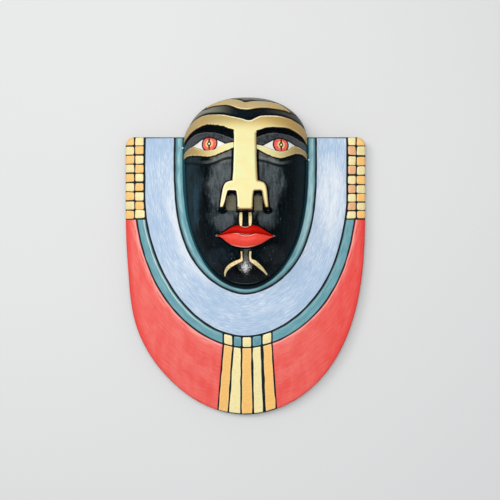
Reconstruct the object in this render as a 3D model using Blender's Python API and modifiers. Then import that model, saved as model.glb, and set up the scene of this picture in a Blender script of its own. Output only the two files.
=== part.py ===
# A wall mask: an egg-shaped head with a straight gold nose, standing out of a broad collar.
# Head and collar are one hand-painted casting, hollow behind the head.
# It lies on its flat back: the face looks up (+Z), the crown points to +Y and the chin to -Y.
# Metres. The origin is on the back plane, under the middle of the outline.

import math

import bmesh
import bpy

# Collar blank: a shield with a flat top edge, straight sides and a rounded foot
COLLAR_HALF_WIDTH = 0.1318
COLLAR_TOP = 0.1300
COLLAR_BOTTOM = -0.1750
COLLAR_SPRING = 0.0650          # where the straight sides begin to curve in
COLLAR_POWERS = (2.9, 1.95)
COLLAR_CORNER = 0.0100          # radius of the two upper corners
COLLAR_FULLNESS = 0.0042        # the left side swells this much further low down
COLLAR_FULLEST = -0.0850        # height of that swelling
COLLAR_FULL_REACH = 0.0800
RIM_HEIGHT = 0.0150             # front edge above the back plane
RIM_ROUND = 0.0030
DOME_RISE = 0.0080              # how much the collar swells from the rim to the middle
DOME_CENTRE = 0.0200            # y of the middle of the swelling
DOME_RINGS = 4
DOME_INNER = 0.25               # the last ring, hidden by the head, as a share of the outline

# Lines between the collar's bands: half width, spring, bottom, powers, lean to the left
INNER_LINE = (0.0773, 0.1286, -0.0425, (3.62, 1.71), 0.020)
MIDDLE_LINE = (0.1108, 0.0614, -0.0881, (1.77, 1.96), 0.0)
OUTER_LINE = (0.1223, 0.0916, -0.1001, (2.42, 1.82), 0.0)
BAND_GROOVE = 0.0017            # half width and depth of a band's V groove
FINE_GROOVE = 0.0013            # the same between tiles, beads and stripes
RUN_OUT = 0.0060                # how far a groove's cutter passes the collar's edge

# Two columns of tiles on each side, above the outer teal band
TILE_COLUMN = 0.1202            # line between the two columns
TILE_ROWS = 9
TILE_ROW_TOP = 0.1201           # lower edge of the first row
TILE_ROW_FOOT = 0.0400          # lower edge of the last
TILE_ROW_SAG = {-1: 0.0, 1: 0.0022}   # the right rows sit lower in the middle

# Five stripes with a bead over each: x of their edges at the outer line and at the foot
STRIPE_EDGES = ((-0.0242, -0.0302), (-0.0135, -0.0187), (-0.0039, -0.0049),
                (0.0071, 0.0086), (0.0179, 0.0209), (0.0289, 0.0340))

# Head: an egg cut off flat behind
HEAD_HALF_WIDTH = 0.0687
HEAD_DEPTH = 0.0760
CROWN_TOP = 0.1750
CROWN_SPRING = 0.1210
CROWN_POWERS = (2.2, 2.2)
CHIN_BOTTOM = -0.0360
CHIN_SPRING = 0.1017
CHIN_POWERS = (2.68, 1.92)
PROFILE_SPRING = 0.1050         # where the face stands furthest forward
FOREHEAD_POWERS = (2.5, 2.0)
JAW_POWERS = (6.0, 2.0)
CHEEK_POWERS = (2.4, 2.0)
HEAD_STEPS = (48, 40)           # round the head, and from the crown to the chin
HOLLOW_STEPS = (28, 24)
WALL = 0.0120                   # thickness of the cast head

# Hollows and swellings of the face: x, y, half width, half length, height
EYE_SOCKETS = (
    (-0.0390, 0.1200, 0.032, 0.021, -0.0070),
    (0.0385, 0.1190, 0.032, 0.021, -0.0070),
)
FACE_SWELLINGS = (
    (-0.0375, 0.1150, 0.025, 0.0125, 0.0030),   # left eyeball
    (0.0370, 0.1140, 0.025, 0.0125, 0.0030),    # right eyeball
    (0.0, 0.0200, 0.036, 0.026, 0.0045),        # mouth
    (0.0, -0.0140, 0.018, 0.015, 0.0045),       # ball of the chin
)

# Raised gold bands, as (x, y) round each outline
LIFT_FADE = (0.2, 1.8)          # share of a lift at the back plane, and its growth to the front
BAND_LIFT = 0.0016
BROW_BAND = (
    (-0.0760, 0.1180), (-0.0665, 0.1214), (-0.0555, 0.1313), (-0.0414, 0.1362),
    (-0.0253, 0.1339), (-0.0125, 0.1290), (0.0, 0.1250), (0.0117, 0.1279),
    (0.0246, 0.1318), (0.0441, 0.1325), (0.0593, 0.1272), (0.0690, 0.1190),
    (0.0760, 0.1120), (0.0760, 0.1270), (0.0690, 0.1315), (0.0579, 0.1401),
    (0.0372, 0.1449), (0.0178, 0.1435), (0.0035, 0.1372), (-0.0133, 0.1424),
    (-0.0310, 0.1464), (-0.0484, 0.1450), (-0.0611, 0.1362), (-0.0760, 0.1230),
)
CROWN_BAND = (
    (-0.0660, 0.1490), (-0.0409, 0.1578), (-0.0207, 0.1577), (-0.0090, 0.1540),
    (0.0006, 0.1515), (0.0090, 0.1530), (0.0220, 0.1546), (0.0356, 0.1534),
    (0.0493, 0.1509), (0.0660, 0.1445), (0.0660, 0.1495), (0.0459, 0.1580),
    (0.0314, 0.1631), (0.0160, 0.1638), (0.0020, 0.1612), (-0.0078, 0.1645),
    (-0.0210, 0.1672), (-0.0360, 0.1668), (-0.0540, 0.1605),
)
UNDER_EYE_LIFT = 0.0016
UNDER_EYE_LEFT = (
    (-0.0740, 0.1000), (-0.0634, 0.1055), (-0.0505, 0.1044), (-0.0367, 0.1023),
    (-0.0252, 0.1053), (-0.0110, 0.1105), (-0.0110, 0.1155), (-0.0209, 0.1128),
    (-0.0322, 0.1085), (-0.0448, 0.1096), (-0.0564, 0.1136), (-0.0640, 0.1130),
    (-0.0740, 0.1060),
)
UNDER_EYE_RIGHT = (
    (0.0110, 0.1125), (0.0194, 0.1098), (0.0298, 0.1063), (0.0422, 0.1086),
    (0.0543, 0.1150), (0.0640, 0.1150), (0.0740, 0.1080), (0.0740, 0.0990),
    (0.0640, 0.1062), (0.0553, 0.1074), (0.0486, 0.1050), (0.0359, 0.1005),
    (0.0246, 0.1031), (0.0110, 0.1095),
)

# Upper lids: along the eye's upper edge, then back over the fold
LID_LIFT = 0.0016
LID_LEFT = (
    (-0.0640, 0.1150), (-0.0506, 0.1178), (-0.0377, 0.1223), (-0.0253, 0.1175),
    (-0.0110, 0.1150), (-0.0110, 0.1200), (-0.0236, 0.1253), (-0.0414, 0.1293),
    (-0.0576, 0.1256),
)
LID_RIGHT = (
    (0.0640, 0.1165), (0.0539, 0.1160), (0.0360, 0.1211), (0.0229, 0.1156),
    (0.0110, 0.1130), (0.0110, 0.1210), (0.0281, 0.1274), (0.0478, 0.1263),
    (0.0620, 0.1210),
)

# Nose: a straight bar with two wings, flat in front and leaning out to its tip
NOSE_ROOT = (0.1320, 0.0745)    # y and front height where it leaves the brow
NOSE_TIP = (0.0470, 0.0970)
NOSE_FOOT = 0.0500              # the nose starts this high, inside the head
NOSE_ROUND = 0.0016
NOSE_HALF = (
    (0.0114, 0.1345), (0.0114, 0.1040), (0.0122, 0.0819), (0.0134, 0.0743),
    (0.0199, 0.0722), (0.0224, 0.0670), (0.0248, 0.0482), (0.0203, 0.0476),
    (0.0178, 0.0595), (0.0150, 0.0655), (0.0108, 0.0655), (0.0082, 0.0610),
    (0.0071, 0.0470),
)

# Raised strokes under the nose and round the chin, right side
STROKE_LIFT = 0.0010
PHILTRUM_STROKE = (
    (0.0026, 0.0480), (0.0026, 0.0370), (0.0034, 0.0290), (0.0062, 0.0290),
    (0.0074, 0.0370), (0.0066, 0.0480),
)
CHIN_STROKE = (
    (0.0033, 0.0090), (0.0038, -0.0042), (0.0092, -0.0086), (0.0162, -0.0138),
    (0.0212, -0.0195), (0.0236, -0.0222), (0.0230, -0.0165), (0.0194, -0.0109),
    (0.0124, -0.0056), (0.0066, -0.0022), (0.0064, 0.0090),
)

# Lips: one outline, parted by a V groove that is shallower at the corners
LIP_LIFT = 0.0032
LIPS = (
    (-0.0291, 0.0202), (-0.0217, 0.0239), (-0.0148, 0.0286), (-0.0062, 0.0307),
    (0.0002, 0.0290), (0.0066, 0.0307), (0.0151, 0.0290), (0.0237, 0.0235),
    (0.0289, 0.0197), (0.0237, 0.0163), (0.0150, 0.0115), (0.0020, 0.0081),
    (-0.0114, 0.0098), (-0.0183, 0.0133), (-0.0235, 0.0180),
)
LIP_PARTING = (
    (-0.0320, 0.0206), (-0.0251, 0.0214), (-0.0148, 0.0230), (-0.0071, 0.0232),
    (-0.0037, 0.0215), (0.0065, 0.0217), (0.0108, 0.0228), (0.0176, 0.0222),
    (0.0280, 0.0201), (0.0320, 0.0196),
)
LIP_GROOVE = 0.0027
LIP_CORNER_RISE = 0.0026       # how much higher the groove lies at x = LIP_CORNER
LIP_CORNER = 0.0300

# How finely the curves are drawn
OUTLINE_STEPS = 30              # points down each side of the collar
BAND_STEPS = 20                 # points down each side of a band's line
CORNER_STEPS = 4
SMOOTH_STEPS = 2                # points between two of a face outline's own
WELD = 0.00001

# Every form runs a little below the back plane, each to its own depth, and is then cut off there
COLLAR_UNDER = -0.0040
HEAD_UNDER = -0.0050
BAND_UNDER = -0.0045
ABOVE_ALL = 0.1200

PAINT = {'color': (0.30, 0.42, 0.56, 1.0), 'roughness': 0.35}


def arch(share, powers):
    """Width of an arch, 1 at its spring and 0 at its end, at a share of the way along."""
    inside = 1.0 - min(max(share, 0.0), 1.0) ** powers[0]
    return max(inside, 0.0) ** (1.0 / powers[1])


def arch_side(half_width, spring, bottom, powers, steps):
    """Points down the right side of an arch, from its spring to its lowest point."""
    points = []
    for step in range(steps):
        angle = 0.5 * math.pi * step / steps
        width = half_width * math.cos(angle) ** (2.0 / powers[1])
        share = math.sin(angle) ** (2.0 / powers[0])
        points.append((width, spring - share * (spring - bottom)))
    return points + [(0.0, bottom)]


def between(start, end, steps):
    """Evenly spaced points from start towards end, which is left out."""
    return [(start[0] + (end[0] - start[0]) * step / steps,
             start[1] + (end[1] - start[1]) * step / steps) for step in range(steps)]


def fullness(y):
    """How much the collar's left side swells at a height."""
    reach = (y - COLLAR_FULLEST) / COLLAR_FULL_REACH
    return COLLAR_FULLNESS * math.cos(0.5 * math.pi * reach) ** 2 if abs(reach) < 1.0 else 0.0


def collar_outline():
    """The shield's outline, anticlockwise from the middle of its foot."""
    side = arch_side(COLLAR_HALF_WIDTH, COLLAR_SPRING, COLLAR_BOTTOM, COLLAR_POWERS, OUTLINE_STEPS)
    corner_x = COLLAR_HALF_WIDTH - COLLAR_CORNER
    corner_y = COLLAR_TOP - COLLAR_CORNER
    straight = between(side[0], (COLLAR_HALF_WIDTH, corner_y), 3)
    corner = []
    for step in range(CORNER_STEPS):
        angle = 0.5 * math.pi * step / CORNER_STEPS
        corner.append((corner_x + COLLAR_CORNER * math.cos(angle),
                       corner_y + COLLAR_CORNER * math.sin(angle)))
    top = between((corner_x, COLLAR_TOP), (0.0, COLLAR_TOP), 5) + [(0.0, COLLAR_TOP)]
    right = side[:0:-1] + straight + corner + top
    left = [(-x - fullness(y), y) for x, y in right[-2:0:-1]]
    return right + left


def outline_share(x, y, outline):
    """How far out a place lies: 0 at the middle of the dome and 1 on the collar's outline."""
    out_x, out_y = x, y - DOME_CENTRE
    for (ax, ay), (bx, by) in zip(outline, outline[1:] + outline[:1]):
        ay, by = ay - DOME_CENTRE, by - DOME_CENTRE
        side_a = out_x * ay - out_y * ax
        side_b = out_x * by - out_y * bx
        if side_a >= 0.0 > side_b or side_a <= 0.0 < side_b:
            part = side_a / (side_a - side_b)
            edge_x, edge_y = ax + (bx - ax) * part, ay + (by - ay) * part
            if edge_x * out_x + edge_y * out_y > 0.0:
                return math.hypot(out_x, out_y) / math.hypot(edge_x, edge_y)
    return 0.0


def dome_height(share):
    """Height of the collar's front surface, from the rim up to the middle of its dome."""
    edge = 1.0 - RIM_ROUND / COLLAR_HALF_WIDTH
    return RIM_HEIGHT + DOME_RISE * max(1.0 - (share / edge) ** 2, 0.0)


def line_height(line, x):
    """The y at which one of the U-shaped lines passes an x low down."""
    half_width, spring, bottom, powers, _ = line
    share = (1.0 - (abs(x) / half_width) ** powers[1]) ** (1.0 / powers[0])
    return spring - share * (spring - bottom)


def band_line(line):
    """Points along one of the collar's U-shaped lines, from the left top to the right top."""
    half_width, spring, bottom, powers, lean = line
    side = arch_side(half_width, spring, bottom, powers, BAND_STEPS)
    right = between((half_width, COLLAR_TOP + RUN_OUT), side[0], 4) + side
    whole = [(-x, y) for x, y in right] + right[-2::-1]
    return [(x - lean * max(spring - y, 0.0), y) for x, y in whole]


def outer_line():
    """The line between the tile columns, which runs on between the teal band and the red."""
    curved = [point for point in band_line(OUTER_LINE) if point[1] < TILE_ROW_FOOT]
    column = between((TILE_COLUMN, COLLAR_TOP + RUN_OUT), (TILE_COLUMN, TILE_ROW_FOOT), 4)
    return [(-x, y) for x, y in column] + curved + column[::-1]


def tile_row_line(side, row):
    """The line under a row of tiles, from the middle line out past the edge."""
    share = row / (TILE_ROWS - 1)
    y = TILE_ROW_TOP + (TILE_ROW_FOOT - TILE_ROW_TOP) * share
    y -= TILE_ROW_SAG[side] * math.sin(math.pi * share)
    inner = side * (MIDDLE_LINE[0] - 0.5 * BAND_GROOVE)
    outer = side * (COLLAR_HALF_WIDTH + RUN_OUT)
    return between((inner, y), (outer, y), 3) + [(outer, y)]


def stripe_line(top_x, foot_x):
    """One edge of a bead and its stripe, from the middle line down past the foot."""
    bead_top = (top_x, line_height(MIDDLE_LINE, top_x))
    stripe_top = (top_x, line_height(OUTER_LINE, top_x))
    foot = (foot_x, COLLAR_BOTTOM - RUN_OUT)
    return [bead_top] + between(stripe_top, foot, 4) + [foot]


def face_swelling(x, y, swellings):
    """Sum of the face's swellings and hollows at a place."""
    total = 0.0
    for centre_x, centre_y, half_width, half_length, height in swellings:
        reach = ((x - centre_x) / half_width) ** 2 + ((y - centre_y) / half_length) ** 2
        if reach < 1.0:
            total += height * (1.0 - reach) ** 2 * (1.0 + 2.0 * reach)
    return total


def head_half_width(y):
    if y > CROWN_SPRING:
        return HEAD_HALF_WIDTH * arch((y - CROWN_SPRING) / (CROWN_TOP - CROWN_SPRING), CROWN_POWERS)
    return HEAD_HALF_WIDTH * arch((CHIN_SPRING - y) / (CHIN_SPRING - CHIN_BOTTOM), CHIN_POWERS)


def head_depth(y):
    """Height of the head's middle line over its own lowest plane."""
    whole = HEAD_DEPTH - HEAD_UNDER
    if y > PROFILE_SPRING:
        return whole * arch((y - PROFILE_SPRING) / (CROWN_TOP - PROFILE_SPRING), FOREHEAD_POWERS)
    return whole * arch((PROFILE_SPRING - y) / (PROFILE_SPRING - CHIN_BOTTOM), JAW_POWERS)


def face_height(x, y):
    """Height of the bare face at a place."""
    across = arch(abs(x) / head_half_width(y), CHEEK_POWERS)
    return HEAD_UNDER + head_depth(y) * across + face_swelling(x, y, FACE_SWELLINGS)


def new_collection(name):
    group = bpy.data.collections.new(name)
    bpy.context.scene.collection.children.link(group)
    return group


def mesh_object(name, bm, group):
    mesh = bpy.data.meshes.new(name)
    bm.to_mesh(mesh)
    bm.free()
    item = bpy.data.objects.new(name, mesh)
    group.objects.link(item)
    return item


def as_cutter(item):
    item.hide_render = True
    item.display_type = 'WIRE'
    return item


def mesh_from_curve(curve, group):
    """Turn a curve into a welded mesh object in a collection, and drop the curve."""
    item = bpy.data.objects.new(curve.name, curve)
    bpy.context.scene.collection.objects.link(item)
    bpy.context.view_layer.update()
    evaluated = item.evaluated_get(bpy.context.evaluated_depsgraph_get())
    mesh = bpy.data.meshes.new_from_object(evaluated)
    name = curve.name
    bpy.data.objects.remove(item)
    bpy.data.curves.remove(curve)
    bm = bmesh.new()
    bm.from_mesh(mesh)
    bpy.data.meshes.remove(mesh)
    bmesh.ops.remove_doubles(bm, verts=bm.verts, dist=WELD)
    bmesh.ops.recalc_face_normals(bm, faces=bm.faces)
    return mesh_object(name, bm, group)


def outline_solid(name, points, low, high, group, smooth=True):
    """A flat outline raised to a solid between two heights."""
    curve = bpy.data.curves.new(name, 'CURVE')
    curve.dimensions = '2D'
    curve.fill_mode = 'BOTH'
    curve.extrude = 0.5 * (high - low)
    curve.resolution_u = SMOOTH_STEPS
    spline = curve.splines.new('BEZIER')
    spline.use_cyclic_u = True
    spline.bezier_points.add(len(points) - 1)
    for knot, (x, y) in zip(spline.bezier_points, points):
        knot.co = (x, y, 0.0)
        knot.handle_left_type = knot.handle_right_type = 'AUTO' if smooth else 'VECTOR'
    if not smooth:
        curve.resolution_u = 1
    item = mesh_from_curve(curve, group)
    for vertex in item.data.vertices:
        vertex.co.z += 0.5 * (low + high)
    return item


def groove(name, points, depth, group):
    """A square bar standing on its edge along a line: it cuts a V of the given depth."""
    curve = bpy.data.curves.new(name, 'CURVE')
    curve.dimensions = '3D'
    curve.twist_mode = 'Z_UP'
    curve.bevel_depth = depth
    curve.bevel_resolution = 0
    curve.use_fill_caps = True
    spline = curve.splines.new('POLY')
    spline.points.add(len(points) - 1)
    for knot, (x, y, z) in zip(spline.points, points):
        knot.co = (x, y, z, 1.0)
    return as_cutter(mesh_from_curve(curve, group))


def boolean(item, operation, operand):
    modifier = item.modifiers.new(operand.name, 'BOOLEAN')
    modifier.operation = operation
    modifier.solver = 'EXACT'
    if isinstance(operand, bpy.types.Collection):
        modifier.operand_type = 'COLLECTION'
        modifier.collection = operand
    else:
        modifier.object = operand


def collar_blank(name, group):
    """The shield: its outline drawn up, rounded over the rim and drawn in to a domed front."""
    outline = collar_outline()
    edge = 1.0 - RIM_ROUND / COLLAR_HALF_WIDTH
    rings = [(1.0, RIM_HEIGHT - RIM_ROUND)]
    rings.append((1.0 - 0.3 * RIM_ROUND / COLLAR_HALF_WIDTH, RIM_HEIGHT - 0.3 * RIM_ROUND))
    for ring in range(DOME_RINGS + 1):
        share = edge + (DOME_INNER - edge) * ring / DOME_RINGS
        rings.append((share, dome_height(share)))

    bm = bmesh.new()
    bmesh.ops.create_circle(bm, cap_ends=True, segments=len(outline), radius=COLLAR_HALF_WIDTH)
    bm.faces.ensure_lookup_table()
    face = bm.faces[0]
    for vertex, (x, y) in zip(face.verts, outline):
        vertex.co = (x, y, COLLAR_UNDER)
    for share, height in rings:
        face = bmesh.ops.extrude_discrete_faces(bm, faces=[face])['faces'][0]
        for vertex, (x, y) in zip(face.verts, outline):
            vertex.co = (x * share, DOME_CENTRE + (y - DOME_CENTRE) * share, height)
    rim = [edge for edge in bm.edges if edge.is_boundary]
    bmesh.ops.contextual_create(bm, geom=rim)
    bmesh.ops.recalc_face_normals(bm, faces=bm.faces)
    return mesh_object(name, bm, group)


def head_form(name, lift, group, swellings=(), steps=HEAD_STEPS):
    """The egg, made from a sphere, with its surface moved outward by lift.

    A raised form fades towards the sides, so that bands end flush with the head's outline.
    """
    bm = bmesh.new()
    bmesh.ops.create_uvsphere(bm, u_segments=steps[0], v_segments=steps[1], radius=1.0)
    middle = 0.5 * (CROWN_TOP + CHIN_BOTTOM)
    half_length = 0.5 * (CROWN_TOP - CHIN_BOTTOM)
    under = []
    moves = []
    for vertex in bm.verts:
        across, down, along = vertex.co
        up = -down
        ring = math.hypot(across, up)
        y = middle + half_length * along
        if ring < WELD:
            vertex.co = (0.0, y, HEAD_UNDER)
            under.append(vertex)
            moves.append((vertex, lift))
            continue
        width = head_half_width(y) * math.copysign((abs(across) / ring) ** (2.0 / CHEEK_POWERS[0]), across)
        if up > WELD:
            height = head_depth(y) * (up / ring) ** (2.0 / CHEEK_POWERS[1])
            height += face_swelling(width, y, swellings) * up / ring
            vertex.co = (width, y, HEAD_UNDER + height)
        else:
            vertex.co = (width, y, HEAD_UNDER)
            under.append(vertex)
        fade = min(LIFT_FADE[0] + LIFT_FADE[1] * max(up / ring, 0.0), 1.0) if lift > 0.0 else 1.0
        moves.append((vertex, lift * fade))
    bm.normal_update()
    for vertex, move in moves:
        vertex.co += vertex.normal * move
    for vertex in under:
        vertex.co.z = HEAD_UNDER
    return mesh_object(name, bm, group)


def raised(name, outline, lift, swellings, group, cutters):
    """A raised area of the face: its outline, up to the face's own form moved outward."""
    form = as_cutter(head_form(name + '_form', lift, cutters, swellings))
    item = outline_solid(name, outline, BAND_UNDER, ABOVE_ALL, group)
    boolean(item, 'INTERSECT', form)
    return as_cutter(item)


def mirrored(outline):
    """An outline turned over to the other side of the face."""
    return [(-x, y) for x, y in outline]


def nose(name, group):
    """The nose: its flat outline, with the front leaning out from the brow to the tip."""
    outline = list(NOSE_HALF) + mirrored(reversed(NOSE_HALF))
    item = outline_solid(name, outline, NOSE_FOOT, ABOVE_ALL, group, smooth=False)
    slope = (NOSE_TIP[1] - NOSE_ROOT[1]) / (NOSE_ROOT[0] - NOSE_TIP[0])
    for vertex in item.data.vertices:
        if vertex.co.z > NOSE_FOOT + WELD:
            vertex.co.z = NOSE_ROOT[1] + slope * (NOSE_ROOT[0] - vertex.co.y)
    rounding = item.modifiers.new('round', 'BEVEL')
    rounding.width = NOSE_ROUND
    rounding.segments = 2
    rounding.limit_method = 'ANGLE'
    rounding.angle_limit = math.radians(30.0)
    return as_cutter(item)


def paint(item):
    material = bpy.data.materials.new(item.name)
    material.use_nodes = True
    shader = material.node_tree.nodes['Principled BSDF']
    shader.inputs['Base Color'].default_value = PAINT['color']
    shader.inputs['Roughness'].default_value = PAINT['roughness']
    shader.inputs['Metallic'].default_value = 0.0
    item.data.materials.append(material)


def collar_grooves(group):
    """Cutters for the lines between bands, tiles, beads and stripes."""
    outline = collar_outline()

    def on_dome(points):
        return [(x, y, dome_height(outline_share(x, y, outline))) for x, y in points]

    groove('inner_line', on_dome(band_line(INNER_LINE)), BAND_GROOVE, group)
    groove('middle_line', on_dome(band_line(MIDDLE_LINE)), BAND_GROOVE, group)
    groove('outer_line', on_dome(outer_line()), FINE_GROOVE, group)
    for side in (-1, 1):
        for row in range(TILE_ROWS):
            name = f'tile_row_{"left" if side < 0 else "right"}_{row + 1}'
            groove(name, on_dome(tile_row_line(side, row)), FINE_GROOVE, group)
    for number, (top_x, foot_x) in enumerate(STRIPE_EDGES):
        groove(f'stripe_edge_{number + 1}', on_dome(stripe_line(top_x, foot_x)), FINE_GROOVE, group)


def face_forms(group, cutters):
    """What stands raised on the head. The bands bridge the eye sockets."""
    face = EYE_SOCKETS + FACE_SWELLINGS
    raised('brow_band', BROW_BAND, BAND_LIFT, (), group, cutters)
    raised('crown_band', CROWN_BAND, BAND_LIFT, (), group, cutters)
    raised('under_eye_left', UNDER_EYE_LEFT, UNDER_EYE_LIFT, face, group, cutters)
    raised('under_eye_right', UNDER_EYE_RIGHT, UNDER_EYE_LIFT, face, group, cutters)
    raised('lid_left', LID_LEFT, LID_LIFT, face, group, cutters)
    raised('lid_right', LID_RIGHT, LID_LIFT, face, group, cutters)
    raised('philtrum_right', PHILTRUM_STROKE, STROKE_LIFT, face, group, cutters)
    raised('philtrum_left', mirrored(PHILTRUM_STROKE), STROKE_LIFT, face, group, cutters)
    raised('chin_right', CHIN_STROKE, STROKE_LIFT, face, group, cutters)
    raised('chin_left', mirrored(CHIN_STROKE), STROKE_LIFT, face, group, cutters)
    raised('lips', LIPS, LIP_LIFT, face, group, cutters)
    nose('nose', group)


def lip_parting():
    """Points along the line between the lips, on their surface and over it at the corners."""
    points = []
    for x, y in LIP_PARTING:
        rise = LIP_CORNER_RISE * (x / LIP_CORNER) ** 2
        points.append((x, y, face_height(x, y) + LIP_LIFT + rise))
    return points


def back_plane(group):
    """A block under the back plane."""
    bm = bmesh.new()
    bmesh.ops.create_cube(bm, size=1.0)
    for vertex in bm.verts:
        vertex.co.z -= 0.5
    return as_cutter(mesh_object('back_plane', bm, group))


def main():
    for item in list(bpy.data.objects):
        bpy.data.objects.remove(item, do_unlink=True)
    parts = new_collection('wall_mask')
    cutters = new_collection('cutters')
    grooves = new_collection('grooves')
    forms = new_collection('face_forms')

    head = as_cutter(head_form('head', 0.0, cutters, EYE_SOCKETS + FACE_SWELLINGS))
    face_forms(forms, cutters)
    boolean(head, 'UNION', forms)
    boolean(head, 'DIFFERENCE', groove('lip_parting', lip_parting(), LIP_GROOVE, cutters))

    mask = collar_blank('mask', parts)
    collar_grooves(grooves)
    boolean(mask, 'DIFFERENCE', grooves)
    boolean(mask, 'UNION', head)
    hollow = head_form('hollow', -WALL, cutters, steps=HOLLOW_STEPS)
    boolean(mask, 'DIFFERENCE', as_cutter(hollow))
    boolean(mask, 'DIFFERENCE', back_plane(cutters))
    paint(mask)


main()
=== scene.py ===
import itertools
import math

import bmesh
import bpy
import numpy as np
from bpy.props import FloatProperty, FloatVectorProperty, PointerProperty
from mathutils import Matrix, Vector


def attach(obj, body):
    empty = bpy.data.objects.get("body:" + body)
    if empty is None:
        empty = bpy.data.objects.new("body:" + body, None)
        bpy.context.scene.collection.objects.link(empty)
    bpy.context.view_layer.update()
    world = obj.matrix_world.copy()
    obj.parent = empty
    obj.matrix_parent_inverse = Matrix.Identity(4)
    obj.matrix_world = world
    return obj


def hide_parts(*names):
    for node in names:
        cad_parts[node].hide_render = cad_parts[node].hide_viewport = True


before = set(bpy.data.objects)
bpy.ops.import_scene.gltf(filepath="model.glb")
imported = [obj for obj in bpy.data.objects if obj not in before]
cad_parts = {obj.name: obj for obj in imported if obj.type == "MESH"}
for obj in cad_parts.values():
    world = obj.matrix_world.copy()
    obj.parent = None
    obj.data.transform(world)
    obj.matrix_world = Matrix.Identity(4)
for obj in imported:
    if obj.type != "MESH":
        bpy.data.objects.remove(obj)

bl_info = {
    "name": "Wall mask",
    "version": (1, 0, 0),
    "blender": (4, 5, 0),
    "location": "3D View > Sidebar > Wall mask",
    "description": "A painted wall mask: a black head with gold bands on a broad striped collar",
    "category": "Object",
}

# The mask lies on its back: +Z is the front, +Y the crown. Metres throughout.
NODE = "mask"

# Collar blank
COLLAR_HALF_WIDTH = 0.1318
COLLAR_TOP = 0.1300
COLLAR_BOTTOM = -0.1750
COLLAR_SPRING = 0.0650
COLLAR_POWERS = (2.9, 1.95)
COLLAR_CORNER = 0.0100
COLLAR_FULLNESS = 0.0042
COLLAR_FULLEST = -0.0850
COLLAR_FULL_REACH = 0.0800
RIM_HEIGHT = 0.0150
RIM_ROUND = 0.0030
DOME_RISE = 0.0080
DOME_CENTRE = 0.0200
GROUND_ROUNDS = (0.0005, 0.0019, 0.0019, 0.0019)

# Collar parts: depth of their walls, the teal bands' lift, rounding of the bands' and fields' ends
SKIRT = 0.00335
TEAL_LIFT = 0.0004
END_ROUND = 0.0006

# U-shaped lines between the collar's bands: half width on the left and right, spring, bottom,
# powers, and how much fuller the right side is (size, height, reach)
INNER_LINE = ((0.0771, 0.0769), 0.1286, -0.0412, (3.62, 1.71), (0.0, 0.0, 1.0))
MIDDLE_LINE = ((0.1108, 0.1117), 0.0614, -0.0886, (1.77, 1.96), (0.0020, -0.0350, 0.070))
OUTER_LINE = ((0.1221, 0.1228), 0.0916, -0.1005, (2.42, 1.82), (0.0018, -0.0600, 0.090))
HEAD_WALL_LINE = ((0.0620, 0.0620), 0.1017, -0.0285, (2.68, 1.92), (0.0, 0.0, 1.0))
FULL_FROM = 0.25

# Tiles: line between the columns, rows from the top down, pillow shape, and how dull each side's
# outer cream ones are
TILE_COLUMN = 0.1214
TILE_ROWS = 9
TILE_ROW_TOP = 0.1201
TILE_ROW_FOOT = 0.0400
TILE_ROW_SAG = {-1: 0.0, 1: 0.0022}
TILE_AROUND = 48
TILE_RINGS = 8
TILE_CROWN = 0.0004
TILE_WALL = 0.0002
OUTER_CREAM_DULL = {-1: 0.25, 1: 0.4}

# Stripes: x at the upper and lower end of each line between them, and how far each stripe's left
# and right edge is drawn in
STRIPE_EDGES = ((-0.0242, -0.0302), (-0.0135, -0.0187), (-0.0039, -0.0049),
                (0.0071, 0.0086), (0.0179, 0.0209), (0.0289, 0.0340))
STRIPE_INSETS = ((0.0, 0.0002), (0.0001, 0.0003), (0.0, 0.0003), (0.0002, 0.0008), (0.0008, 0.0))
STRIPE_ROUNDS = (0.0008, 0.0008, 0.0007, 0.0020)

# Paint of tiles, beads and stripes: material, colour, edge colour (partly a painted highlight), dull
# colour, noise shift, edge share
TILE_PAINTS = {
    "tiles_orange": ("tile_orange", "orange", (250, 214, 150), (222, 160, 92), 1.0, 0.5),
    "tiles_salmon": ("tile_salmon", "salmon", (250, 206, 160), (214, 150, 106), 2.0, 0.5),
    "tiles_cream": ("tile_cream", "cream", (252, 244, 200), (206, 178, 120), 3.0, 0.5),
    "cream_beads_and_stripes": ("stripe_cream", "cream", (252, 246, 212), (214, 198, 140), 5.0, 0.5),
    "orange_stripes": ("stripe_orange", "orange", (252, 222, 166), (224, 164, 92), 6.0, 0.6),
    "teal_beads": ("bead_teal", "teal", (132, 186, 200), (60, 108, 120), 7.0, 0.5),
}

# White chips where the head meets the collar, and the pale fleck in the red
TEMPLE_CHIPS = ((-0.0688, 0.1177), (0.0694, 0.1045))
RED_FLECK = (-0.0336, -0.1209, 0.0195)

# Head: an egg cut off flat behind, with a cast wall, and a grid of rows by columns over its front
# and through its hollow
HEAD_HALF_WIDTH = 0.0687
HEAD_DEPTH = 0.0760
HEAD_UNDER = -0.0050
CROWN_TOP = 0.1750
CROWN_SPRING = 0.1210
CROWN_POWERS = (2.2, 2.2)
CHIN_BOTTOM = -0.0360
CHIN_SPRING = 0.1017
CHIN_POWERS = (2.68, 1.92)
PROFILE_SPRING = 0.1050
FOREHEAD_POWERS = (2.5, 2.0)
JAW_POWERS = (6.0, 2.0)
CHEEK_POWER = 2.4
CROWN_LEAN = (0.0011, 0.1220, 0.1450)
WALL = 0.0120
BACK_LIFT = 0.00005
HEAD_GRID = (300, 260, 44)
FOLD_RELIEF = 0.0006

# Hollows and swellings of the face: x, y, half width, half length, height
SWELLINGS = (
    (-0.0390, 0.1200, 0.032, 0.021, -0.0070),
    (0.0385, 0.1190, 0.032, 0.021, -0.0070),
    (-0.0375, 0.1150, 0.025, 0.0125, 0.0030),
    (0.0370, 0.1140, 0.025, 0.0125, 0.0030),
    (0.0, 0.0200, 0.036, 0.026, 0.0045),
    (0.0, -0.0140, 0.018, 0.015, 0.0045),
)

# What is raised off the head fades towards its back: a share at the edge and its growth
LIFT_FADE = (0.2, 1.8)

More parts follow.
